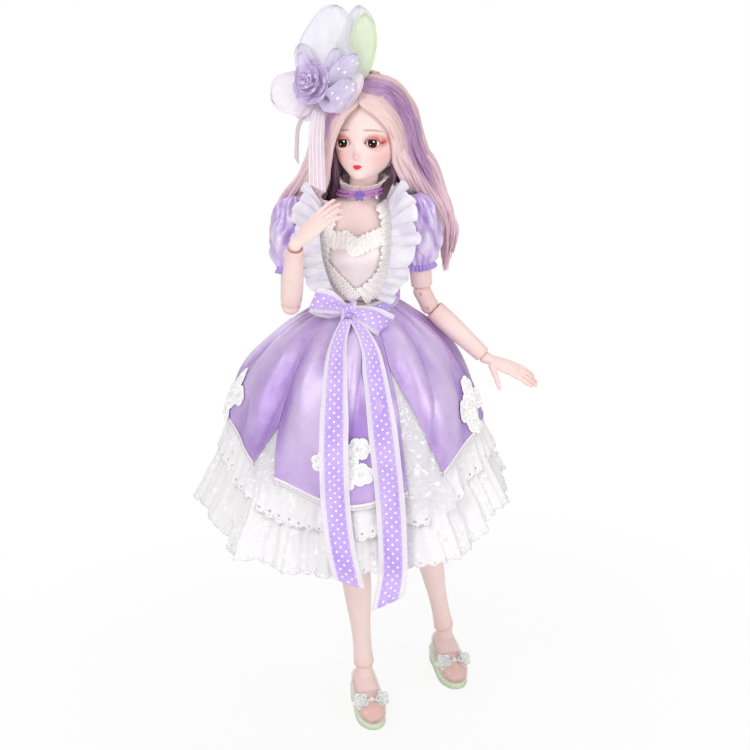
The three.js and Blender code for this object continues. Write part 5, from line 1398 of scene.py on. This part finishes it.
# Shoes: clear pink moulded pumps on pale green wedge soles, each with a bow of clear film.
# The upper follows the foot, closed at the toe and open over the instep.
sole_rubber, sole_at = finish("sole_rubber", Roughness=0.45, Coat_Weight=0.2)
z = sole_at.split()[2]
(z.step(2, 9) * 0.7 + sole_at.noise(9, 2) * 0.3).mix("c4dfb2", "eef1e2").to("Base Color")
(z.wave(2.2) * 0.4 + sole_at.noise(0.8, 3)).bump(0.06)
pink_film, pink_at = finish("pink_film", Roughness=0.12, Coat_Weight=0.7)
rim = pink_at.mark("rim")
toe = pink_at.mark("toe")
film_tone = pink_at.noise(16, 2).step(0.3, 0.7).mix("fff4f2", "ffe8e6")
toe.mix(film_tone, "ffe0da").to("Base Color")
(rim * 0.25 + toe * 0.1 + 0.2).to("Alpha")
pink_at.noise(3, 2).bump(0.05)
clear_film, clear_at = finish("clear_film", "cut", Roughness=0.3, Sheen_Weight=0.4)
clear_at.noise(3, 2).step(0.35, 0.7).mix("ffffff", "f2fbf6").to("Base Color")
rim = clear_at.mark("rim")
(rim * 0.2 + 0.7).to("Alpha")
clear_at.noise(1.5, 3).bump(0.12)
SOLE = [(-50, 1.5), (-48.5, 5), (-45, 8.6), (-38, 12.4), (-26, 14.4), (-10, 13.6), (6, 12.2), (18, 11.6),
        (25, 9.4), (28, 5.5), (29, 1.5)]
for key in "rl":
    body = f"foot_{key}"
    table = np.array(SOLE)
    places = np.concatenate([linspace(-50, -44, 14), linspace(-42, 22, 34), linspace(23, 29, 14)])
    half = np.maximum(flow(table[:, 0], table[:, 1], places), 0.6)
    outline = np.concatenate([np.stack([half, places], 1), np.stack([-half, places], 1)[::-1]])
    inward = outline * (1 - 2.0 / np.maximum(np.linalg.norm(outline, axis=1, keepdims=True), 4))
    layer = lambda flat, height: np.concatenate([flat, np.broadcast_to(height, len(flat))[:, None]], 1)
    top = sole_top(outline[:, 1])
    rows = [layer(outline * 0.02, 0.02), layer(inward, 0.02), layer(outline * 0.985, 0.5),
            layer(outline, 1.4), layer(outline, top * 0.5), layer(outline, top - 1.2),
            layer(outline * 0.985, top - 0.3), layer(inward, top), layer(outline * 0.02, sole_top(0))]
    sole = laid_grid(f"wedge_sole_{key}", on_foot(key, np.array(rows)), sole_rubber, wrap=True, weld=True)
    dress(sole, body, f"shoe_sole_{key}")
    rings = foot_rings(1.5, 1.2, 56, 70)
    tip = rings[:1].mean(1, keepdims=True) - (0, 0.8, 0)
    rings = np.concatenate([0.03 * rings[:1] + 0.97 * tip, rings])
    places = rings[:, 0, 1]
    rim_height = np.interp(places, [-52, -30, -22, -12, 0, 12, 20], [60, 27, 17, 15.5, 17, 21, 24])
    rim_height = rim_height + sole_top(places)
    lifted = np.minimum(rings[..., 2], rim_height[:, None])
    low_enough = (rings[..., 2] <= rim_height[:, None] + 1.2)[:-1]
    keep = low_enough & np.roll(low_enough, -1, 1)
    rings[..., 2] = lifted
    near = clip(1 - (rim_height[:, None] - lifted) / 1.6, 0, 1)
    upper = laid_grid(f"pump_upper_{key}", on_foot(key, rings), pink_film, wrap=True, thick=0.8,
                      keep=keep,
                      marks={"rim": near, "toe": clip((-24 - rings[..., 1]) / 16, 0, 1)})
    dress(upper, body, f"shoe_upper_{key}")
    lobes = []
    for lobe, (side, size, rise) in enumerate(((-1, 7.6, 0), (1, 7.6, 0), (-0.95, 5.0, 2),
                                               (0.95, 5.0, 2))):
        share, angle = np.meshgrid(linspace(0.03, 1, 14), even_turns(48), indexing="ij")
        ruffle = cos(6 * angle + 2 * lobe) * share + 0.6 * cos(11 * angle + 5 * share + lobe) * share
        reach = size * share * (1 + 0.12 * cos(5 * angle + lobe))
        face, up = unit(np.array((0.45 * side, -0.75, 0.55))), unit(np.array((0.1 * side, 0.55, 0.8)))
        beside = np.cross(face, up)
        middle = np.array((10.5 * side, -33.5, 25.0))
        lift = rise + 1.4 * share ** 2 + 0.9 * ruffle
        grid = (middle + reach[..., None] * (cos(angle)[..., None] * beside + sin(angle)[..., None] * up)
                + lift[..., None] * face)
        lobes.append(laid_grid("lobe", on_foot(key, grid), clear_film, wrap=True, thick=0.4,
                               marks={"rim": share ** 6}))
    share, across = np.meshgrid(linspace(-1, 1, 24), linspace(-1, 1, 7), indexing="ij")
    height = 26.2 + (1.4 + 1.6 * share ** 2) * across
    band = np.stack([9.5 * share, -35 - 1.2 * cos(2 * share), height], -1)
    lobes.append(laid_grid("lobe", on_foot(key, band), clear_film, thick=0.5,
                           marks={"rim": np.abs(across) ** 4}))
    film = joined(f"film_bow_{key}", lobes)
    dress(film, body, f"shoe_bow_{key}")
    knot = beads(f"film_knot_{key}", on_foot(key, np.array([(0, -36, 27.5)])), 2.2)
    dress(knot, body)

# Wig: long locks of fine fibre from a parting on a sewn cap, pinkish beige with violet streaks.
# The crown turns with the head, and the upper and lower lengths hang below it, the lower on the back.
hair_fibre, hair_at = finish("hair_fibre", "strand", Roughness=0.3, Specular_IOR_Level=0.75)
hair_mark = hair_at.mark
fine = hair_at.stretch(1, 0.02).noise(0.34, 3)
coarse = hair_at.stretch(1, 0.03).noise(1.6, 2)
shine = (fine * 0.6 + coarse * 0.4).step(0.28, 0.7)
beige = hair_mark("low").mix(shine.mix("dcb0b0", "fae2da"), shine.mix("e4b6cb", "fde6ec"))
violet_streak = shine.mix("6c3a74", "d4a8d6")
plum = shine.mix("3a1c30", "6e4660")
streaked = (hair_mark("tone") * 1.35 + coarse * 1.2 + fine * 0.7 - 1.05).step(0.0, 0.8)
hair_colour = hair_mark("deep").mix(streaked.mix(beige, violet_streak), plum)
hair_colour.to("Base Color")
(coarse * 0.2 + 0.27).to("Roughness")
(fine + coarse * 1.5).bump(0.12)


PINK_FROM, PINK_OVER = 575, 70


def out_of_head(points, margin):
    """Moves points sideways out of the head to at least a margin over it."""
    local = points - HEAD_AT
    x = local[..., 0] * cos(FACE_TURN) + local[..., 1] * sin(FACE_TURN)
    y = -local[..., 0] * sin(FACE_TURN) + local[..., 1] * cos(FACE_TURN)
    level = clip(local[..., 2], -5, 72).ravel()
    sizes = flow(head_table[:, 0], head_table[:, 1:], level).reshape(x.shape + (3,))
    wide = sizes[..., 0] + margin
    deep = np.where(y < 0, sizes[..., 1], sizes[..., 2]) + margin
    inside = np.sqrt((x / wide) ** 2 + (y / deep) ** 2)
    grow = np.where((inside < 1) & (local[..., 2] > -6), 1 / np.maximum(inside, 0.05), 1)
    return on_head(np.stack([x * grow, y * grow, local[..., 2]], -1))


def wig_piece(name, rings, tone, deep, starts):
    """Mesh of many locks, each a list of rings; every lock has its own strip of the unit square."""
    sides = len(rings[0][0])
    faces, strand, bake, marks = [], [], [], []
    columns = math.ceil(math.sqrt(len(rings) * 3))
    lines = math.ceil(len(rings) / columns)
    base = 0
    for index, lock in enumerate(rings):
        count = len(lock)
        marks.append(np.stack([np.repeat(tone[index], sides), np.full(count * sides, deep[index]),
                               clip((PINK_FROM - lock[..., 2].ravel()) / PINK_OVER, 0, 1)], 1))
        run = starts[index] + lengths(lock.mean(1))
        girth = 2 * np.linalg.norm(lock[:, 0] - lock[:, sides // 2], axis=1).max() + 1
        left, low = (index % columns) / columns, (index // columns) / lines
        i, j = np.meshgrid(np.arange(count - 1), np.arange(sides), indexing="ij")
        across, down = j / sides, i / (count - 1)
        corner = lambda a, b: base + (i + a) * sides + (j + b) % sides
        fibre = lambda a, b: np.stack([index * 3.7 + girth * (across + b / sides), run[i + a]], -1)
        patch = lambda a, b: np.stack([left + (0.05 + 0.9 * (across + b / sides)) / columns,
                                       low + (0.03 + 0.94 * (down + a / (count - 1))) / lines], -1)
        for made, place in ((faces, corner), (strand, fibre), (bake, patch)):
            corners = np.stack([place(a, b) for a, b in ((0, 0), (0, 1), (1, 1), (1, 0))], 2)
            made.append(corners.reshape((-1,) + corners.shape[2:]))
        base += count * sides
    mesh = bpy.data.meshes.new(name)
    mesh.from_pydata(in_frame(np.concatenate([lock.reshape(-1, 3) for lock in rings])).tolist(), [],
                     np.concatenate(faces).tolist())
    for layer, values in (("strand", strand), ("OFBake", bake)):
        values = np.concatenate(values).astype(np.float32)
        mesh.uv_layers.new(name=layer).uv.foreach_set("vector", values.ravel())
    for mark, values in zip(("tone", "deep", "low"), np.concatenate(marks).T):
        mesh.attributes.new(mark, "FLOAT", "POINT").data.foreach_set("value", values.astype(np.float32))
    made = put_in_scene(name, mesh, hair_fibre)
    return made


HAIR_SIDES = {
    "left": [
        [(9, -35, 607), (24, -34, 599), (36, -25, 579), (41, -16, 556), (47, -5, 534), (58, 12, 508),
         (70, 24, 478), (79, 31, 446)],
        [(11, -22, 619), (34, -22, 611), (49, -12, 586), (55, -5, 559), (64, 4, 535), (75, 16, 508),
         (86, 25, 476), (88, 31, 442)],
        [(15, -4, 629), (40, -4, 619), (58, 7, 593), (65, 14, 562), (79, 19, 536), (87, 24, 506),
         (94, 28, 474), (91, 33, 436)],
        [(18, 12, 628.5), (40, 20, 616), (54, 31, 593), (59, 38, 561), (65, 42, 528), (73, 45, 494),
         (80, 46, 458), (76, 44, 424)],
        [(19, 28, 618), (23, 42, 602), (24, 50, 578), (24, 52, 550), (24, 54, 520), (26, 55, 488),
         (29, 53, 455), (32, 50, 424)],
    ],
    "right": [
        [(9, -35, 607), (-4, -37, 599), (-14, -31, 580), (-19, -24, 558), (-24, -13, 536), (-37, 7, 512),
         (-56, 22, 486), (-66, 31, 456)],
        [(11, -22, 619), (-8, -26, 611), (-21, -18, 588), (-27, -9, 560), (-34, 1, 536), (-50, 16, 511),
         (-68, 26, 484), (-72, 33, 452)],
        [(14, -4, 629), (-8, -6, 618.5), (-24, 4, 596), (-32, 11, 566), (-43, 18, 541), (-61, 25, 515),
         (-75, 31, 486), (-71, 37, 446)],
        [(17, 12, 628.5), (0, 20, 616), (-14, 31, 593), (-20, 38, 560), (-27, 42, 526), (-38, 45, 490),
         (-50, 45, 456), (-48, 43, 428)],
        [(19, 28, 618), (18, 42, 602), (17, 50, 578), (16, 52, 550), (15, 54, 520), (12, 55, 488),
         (8, 53, 455), (9, 50, 424)],
    ],
}
UNDER_HAIR = {
    "left": [[(42, -12, 572), (40, -10, 556), (38, -5, 540), (40, 4, 524), (46, 14, 506), (54, 24, 484),
              (62, 32, 460)],
             [(46, 14, 572), (44, 16, 556), (42, 18, 540), (42, 22, 524), (44, 28, 506), (48, 34, 484),
              (54, 38, 452)]],
    "right": [[(-17, -16, 572), (-15, -13, 556), (-13, -7, 540), (-16, 3, 524), (-24, 14, 506),
               (-34, 24, 484), (-46, 32, 460)],
              [(-17, 14, 572), (-16, 16, 556), (-14, 18, 540), (-16, 22, 524), (-20, 28, 506),
               (-26, 34, 484), (-34, 38, 452)]],
}
CROWN_END, UPPER_END = 549.0, 488.0
CLUMPS, LOCKS_EACH, UNDER_LOCKS, LOCK_STEPS = 34, 7, 60, 34
chance = np.random.default_rng(11)
locks = []
for side, guides in HAIR_SIDES.items():
    guides = np.array(guides, float)
    flat, points = guides.reshape(len(guides), -1), guides.shape[1]
    guided = lambda share: flow(np.arange(len(flat)), flat, np.array([share])).reshape(-1, 3)
    for clump in range(CLUMPS):
        centre = (clump + 0.5) / CLUMPS * (len(guides) - 1)
        shift = chance.normal(0, 1, (points, 3)) * linspace(0, 2.6, points)[:, None]
        tip = chance.uniform(0.88, 1.0)
        for _ in range(LOCKS_EACH):
            share = clip(centre + chance.uniform(-0.09, 0.09), 0, len(guides) - 1)
            draw = linspace(0, 0.7, points)[:, None] ** 1.5
            path = guided(share) * (1 - draw) + guided(centre) * draw + shift
            path[1:] += chance.normal(0, 0.7, path[1:].shape)
            if side == "left":
                streak = exp(-((share - 1.25) / 0.5) ** 2) * chance.uniform(0.75, 1.0)
                ends = (512, 556)
            else:
                streak = exp(-((share - 0.5) / 0.4) ** 2) * chance.uniform(0.3, 0.7)
                ends = (545, 575)
            locks.append((path, chance.uniform(0, 1), (min(streak, 1), *ends), 0.0,
                          tip * chance.uniform(0.96, 1), chance.uniform(3.2, 5.2)))
for side, guides in UNDER_HAIR.items():
    guides = np.array(guides, float)
    for _ in range(UNDER_LOCKS):
        share = chance.uniform(0, 1)
        path = guides[0] * (1 - share) + guides[1] * share
        path[1:] += chance.normal(0, 1.6, path[1:].shape)
        locks.append((path, 0.0, (0.3, 400, 401), chance.uniform(0.8, 1.0), chance.uniform(0.8, 1.0),
                      chance.uniform(2.4, 4.0)))
pieces = {"crown": [], "upper": [], "lower": []}
around = even_turns(6)
for path, layer, (streak, fades, full), deep, reach, half in locks:
    line = route(path, LOCK_STEPS)[:int(LOCK_STEPS * reach)]
    share = linspace(0, 1, len(line))
    line[:, 0] += 2.2 * sin(line[:, 2] / 15) * clip((540 - line[:, 2]) / 70, 0, 1)
    line[:, 1] += 1.2 * cos(line[:, 2] / 11) * clip((530 - line[:, 2]) / 60, 0, 1)
    line = out_of_head(line, 2.2 + 3.2 * layer if deep < 0.5 else 0.8)
    lean = leaning(line)
    rise = clip((line[:, 2:] - 575), 0, 60)
    away = line - (HEAD_AT + (3, 16, 0)) * (1, 1, 0) - line * (0, 0, 1) + (0, 0, 1) * rise
    wide = unit(np.cross(lean, away))
    thick = np.cross(wide, lean)
    swell = half * np.interp(share, [0, 0.03, 0.12, 0.55, 0.85, 1], [0.04, 0.55, 0.9, 1.15, 0.95, 0.1])
    rings = strip_grid(line, (wide, swell[:, None] * cos(around)),
                       (thick, 0.34 * swell[:, None] * sin(around)))
    tone = streak * clip((line[:, 2] - fades) / (full - fades), 0, 1) + 0.12 * layer
    cuts = [0]
    for level in (CROWN_END, UPPER_END):
        below = np.nonzero(line[:, 2] < level)[0]
        at = below[0] if len(below) else len(line)
        if 0 < at < len(line):
            mix = (line[at - 1, 2] - level) / (line[at - 1, 2] - line[at, 2])
            rings, tone, line = (
                np.insert(values, at, values[at - 1] * (1 - mix) + values[at] * mix, 0)
                for values in (rings, tone, line))
        cuts.append(at)
    cuts.append(len(line))
    run = lengths(line)
    for name, first, last in zip(pieces, cuts[:-1], cuts[1:]):
        part = rings[first:min(last + 1, len(rings))]
        if len(part) > 2:
            pieces[name].append((part, clip(tone[first:first + len(part)], 0, 1), deep, run[first]))
hair = {name: wig_piece(f"wig_{name}_locks", *zip(*parts)) for name, parts in pieces.items()}
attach(hair["crown"], "head")
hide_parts("wig_crown")
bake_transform(hair["upper"])
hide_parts("wig_lengths_upper")
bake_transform(hair["lower"])
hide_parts("wig_lengths_lower")

cap_net, cap_at = finish("cap_net", Roughness=0.5)
strands = cap_at.stretch(1, 0.15, 0.5).noise(0.8, 3).step(0.3, 0.7)
strands.mix("cda2a2", "efcfc8").to("Base Color")
strands.bump(0.2)
heights = linspace(-3, 73, 60)
turns = even_turns(120)
sizes = flow(head_table[:, 0], head_table[:, 1:], np.minimum(heights, 72.6)) + 1.6
cap = oval(turns, *sizes.T[..., None], (heights + 1.6 * (heights > 60))[:, None])
opening = (cap[..., 0] / 27) ** 2 + ((cap[..., 2] - 16) / 42) ** 2
keep = ~((opening < 1) & (cap[..., 1] < -6))[:-1] & ~((cap[..., 1] < -16) & (cap[..., 2] < 8))[:-1]
wig_cap = laid_grid("wig_cap", on_head(cap), cap_net, wrap=True, keep=keep, thick=0.5)
dress(wig_cap, "head")

# Hat: a clip-on spray of stiff organza petals and a lime leaf round a violet organza rose.
# It sits on a small felt base at the right of the parting, and sheer ribbons hang from it.


def organza(name, tint, edge, cover, dotted=False, striped=False):
    """Sheer woven film with a firm rim; the dotted one has flocked spots and the striped one cords."""
    material, at = finish(name, "cut", Roughness=0.42, Sheen_Weight=0.2)
    rim = at.mark("rim")
    u, v, _ = at.split()
    cloud = (at.stretch(1, 0.5).noise(9, 3) * 0.7 + at.noise(22, 2) * 0.3).step(0.3, 0.7)
    colour = (rim * 0.35 + cloud * 0.4).mix(tint, edge)
    alpha = cloud * 0.2 + rim * 0.3 + (cover - 0.08)
    relief = (u.wave(0.55) + v.wave(0.55)) * 0.05 + at.stretch(1, 0.5).noise(8, 2)
    if dotted:
        spots = 1 - at.cells(6.4, 0.35).step(0.16, 0.22)
        colour, alpha = spots.mix(colour, "ffffff"), alpha + spots * 0.5
    if striped:
        cords = u.beat(3.4).step(0.76, 0.84)
        colour, alpha, relief = cords.mix(colour, "ffffff"), alpha + cords * 0.4, relief + cords * 0.3
    colour.to("Base Color")
    alpha.capped().to("Alpha")
    relief.bump(0.5)
    return material


PETAL_STEPS, PETAL_SPAN, STRIP_STEPS = 40, 29, 90


def petal(name, spine, face, widths, material, cup=4, ruffle=1.5, node=None, slot="organza"):
    """Petal along a spine: face is the way its front looks, widths are half widths from root to tip."""
    line = route(spine, PETAL_STEPS)
    lean = leaning(line)
    face = unit(unit(face) - lean * (lean @ unit(face))[:, None])
    side = np.cross(lean, face)
    share, span = linspace(0, 1, PETAL_STEPS)[:, None], linspace(-1, 1, PETAL_SPAN)
    half = flow(linspace(0, 1, len(widths)), widths, share[:, 0])[:, None]
    tip = np.sqrt(clip(1 - clip((share - 0.86) / 0.14, 0, 1) ** 2, 0.03, 1))
    half = np.maximum(half, 0.5) * tip
    ragged = 1 + 0.05 * sin(11 * share + 4 * np.sign(span)) * np.abs(span)
    wave = sin(10 * span + 5 * share) * span ** 2 * share + 0.6 * sin(9 * share + 2 * span) * np.abs(span)
    wave = wave + 0.4 * sin(7 * span + 3 * share) * sin(8 * share)
    lift = cup * span ** 2 * sin(pi * clip(share, 0.05, 0.9)) + ruffle * wave
    grid = strip_grid(line, (side, half * span * ragged), (face, lift))
    edge = np.maximum(np.abs(span) ** 14, clip((share - 0.96) / 0.03, 0, 1))
    made = laid_grid(name, grid, material, thick=0.3, marks={"rim": edge}, u=half.max() * span)
    if slot:
        dress(made, "head", node)
    return made


felt = mottled("hat_felt", "efe8f4", "dcd2ea", (2, 4), (0.6, 3), 0.2, Roughness=0.9)
HAT_AT = np.array((-13.5, -18.5, 611))
HAT_OUT = unit((-0.63, -0.43, 0.647))
hat_side = unit(np.cross(HAT_OUT, (0, 0, 1)))
hat_up = np.cross(hat_side, HAT_OUT)
rings = [(-3, 0.1), (-3, 12.5), (1.5, 13), (2.6, 12.2), (2.9, 0.1)]
rings = [level_ring(HAT_AT + rise * HAT_OUT, hat_side, hat_up, r, 40) for rise, r in rings]
base = laid_grid("hat_felt", rings, felt, wrap=True, weld=True)
dress(base, "head", "hat_base")

white_organza = organza("white_organza", "f3f2fa", "e2e0ee", 0.5)
pink_organza = organza("pink_organza", "fdf4fc", "f2e2f2", 0.5)
lime_organza = organza("lime_organza", "f3fce4", "d6f3a8", 0.44)
grey_organza = organza("grey_organza", "e6e0f4", "ccc2e6", 0.55)
dotted_tulle = organza("dotted_tulle", "e9e0f8", "cdbcec", 0.52, dotted=True)
violet_organza = organza("violet_organza", "f6eaff", "d4b0fa", 0.5)
striped_organza = organza("striped_organza", "f8e8f4", "ecd8ee", 0.5, striped=True)
root = HAT_AT + 3 * HAT_OUT
petal("petal_white_high", [root, (-18, -17, 638), (-16, -13, 662), (-5, -9, 689)], (-0.2, -1, 0.2),
      [7, 21, 24, 19, 11], white_organza, 4, 2.2, node="hat_petals")
petal("petal_white_side", [root, (-1, -12, 634), (9, -8, 656), (12, -6, 689)], (0.25, -1, 0.2),
      [6, 14, 17, 15, 8], white_organza, 4, 2.0)
petal("petal_white_left", [root, (-29, -21, 628), (-36, -16, 643), (-40, -12, 658)], (-0.3, -1, 0.2),
      [6, 11, 12, 10, 6], white_organza, 3, 1.8)
petal("petal_pink_low", [root, (-37, -24, 616), (-53, -26, 616), (-68, -25, 613)], (-0.2, -1, 0.3),
      [7, 15, 20, 18, 11], pink_organza, 4, 2.0)
petal("petal_pink_under", [root, (-26, -22, 606), (-36, -26, 601), (-48, -28, 599)], (-0.2, -1, 0.4),
      [5, 9, 11, 10, 6], pink_organza)
petal("petal_pink_strip", [root + 3 * HAT_OUT, (-10, -35, 607), (1, -36, 616), (12, -34, 634)],
      (0.3, -1, 0.2), [4, 7, 8, 7, 4], pink_organza, 2, 1.2)
petal("leaf_lime", [root, (2, -14, 632), (12, -12, 654), (17, -11, 682)], (0.2, -1, 0.2),
      [3, 11, 15.5, 13, 5], lime_organza, 3, 1.6, node="hat_leaf", slot="leaf")
petal("petal_grey", [root + 4 * HAT_OUT, (-15, -30, 630), (-12, -30, 643), (-9, -28, 655)],
      (0.1, -1, 0.3), [4, 7, 8, 7, 4], grey_organza, 3, 1.0)
petal("tulle_high", [root + 4 * HAT_OUT, (-12, -35, 623), (-3, -35, 636), (8, -33, 650)], (0.2, -1, 0.3),
      [4, 9, 10, 9, 5], dotted_tulle, 3, 1.6)
petal("tulle_low", [root + 3 * HAT_OUT, (-16, -38, 610), (-8, -40, 616), (3, -38, 630)], (0.2, -1, 0.2),
      [5, 8, 10, 9, 6], dotted_tulle, 3, 1.6)

rose_out = unit((-0.42, -0.8, 0.36))
rose_side = unit(np.cross((0, 0, 1), -rose_out))
rose_up = np.cross(rose_out, rose_side)
rose_up = rose_up if rose_up[2] > 0 else -rose_up
ROSE_AT = np.array((-31.5, -30, 625))
ROSE = [(100, 21, 11, 0), (140, 20, 12, 1), (185, 17, 12, 1), (228, 21, 12, 0), (272, 20, 12, 0),
        (320, 16, 11, 1), (5, 14, 11, 1), (50, 19, 11, 0), (68, 27, 6.5, 5), (118, 14, 9, 6),
        (170, 11, 9, 6), (235, 13, 9, 6), (300, 11, 9, 6), (15, 10, 8, 6), (80, 9, 7, 10),
        (160, 7, 7, 10), (260, 8, 7, 10), (340, 6, 6, 11), (120, 4, 5, 13), (290, 4, 5, 13)]
rose_petals = []
for place, reach, half, rise in ROSE:
    turn = math.radians(place)
    out = cos(turn) * rose_side + sin(turn) * rose_up
    spine = [ROSE_AT + reach * share * out + (rise + lift) * rose_out
             for share, lift in ((0.05, -4), (0.45, -1), (0.8, 2.5), (1, 4.5))]
    rose_petals.append(petal("rose_petal", spine, rose_out - 0.3 * out,
                             [0.4 * half, 0.85 * half, half, 0.9 * half, 0.5 * half],
                             violet_organza, cup=0.25 * half, ruffle=1.3, slot=None))
rose = joined("organza_rose", rose_petals)
dress(rose, "head", "hat_rose")

for name, half, facing, node, path in (
    ("hat_ribbon_long", 7.2, (0.08, -1, 0), "hat_ribbon",
     [(-22, -25, 606), (-26, -34, 600), (-29, -40, 582), (-30, -41, 556), (-30.5, -41, 534)]),
    ("hat_ribbon_edge", 5.4, (0.95, -0.3, 0), None,
     [(-28, -22, 606), (-38, -30, 600), (-45, -34, 588), (-47, -34, 572), (-48, -34, 558)]),
):
    line = route(path, STRIP_STEPS)
    lean = leaning(line)
    wide = unit(np.cross(lean, facing))
    span = linspace(-1, 1, 17)
    half = half * np.interp(linspace(0, 1, STRIP_STEPS), [0, 0.12, 0.3, 1], [0.55, 0.8, 0.95, 1.05])
    curl = 0.8 * cos(3 * span + 1) * linspace(1, 0.3, STRIP_STEPS)[:, None]
    slant = 4.0 * span * clip(linspace(-9, 1, STRIP_STEPS), 0, 1)[:, None]
    grid = (strip_grid(line, (wide, half[:, None] * span)) + curl[..., None] * (0, -1, 0)
            + slant[..., None] * (0, 0, 1))
    strip = laid_grid(name, grid, striped_organza, thick=0.25, u=7.2 * span,
                      marks={"rim": np.abs(span) ** 12})
    dress(strip, "head", node)

# Size: the box of the solids alone and the box of the dressed doll, both in metres,
# are gathered at the end.
dressed_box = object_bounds()
({"cad": [list(map(float, corner)) for corner in cad_box],
           "dressed": [list(map(float, corner)) for corner in dressed_box]})
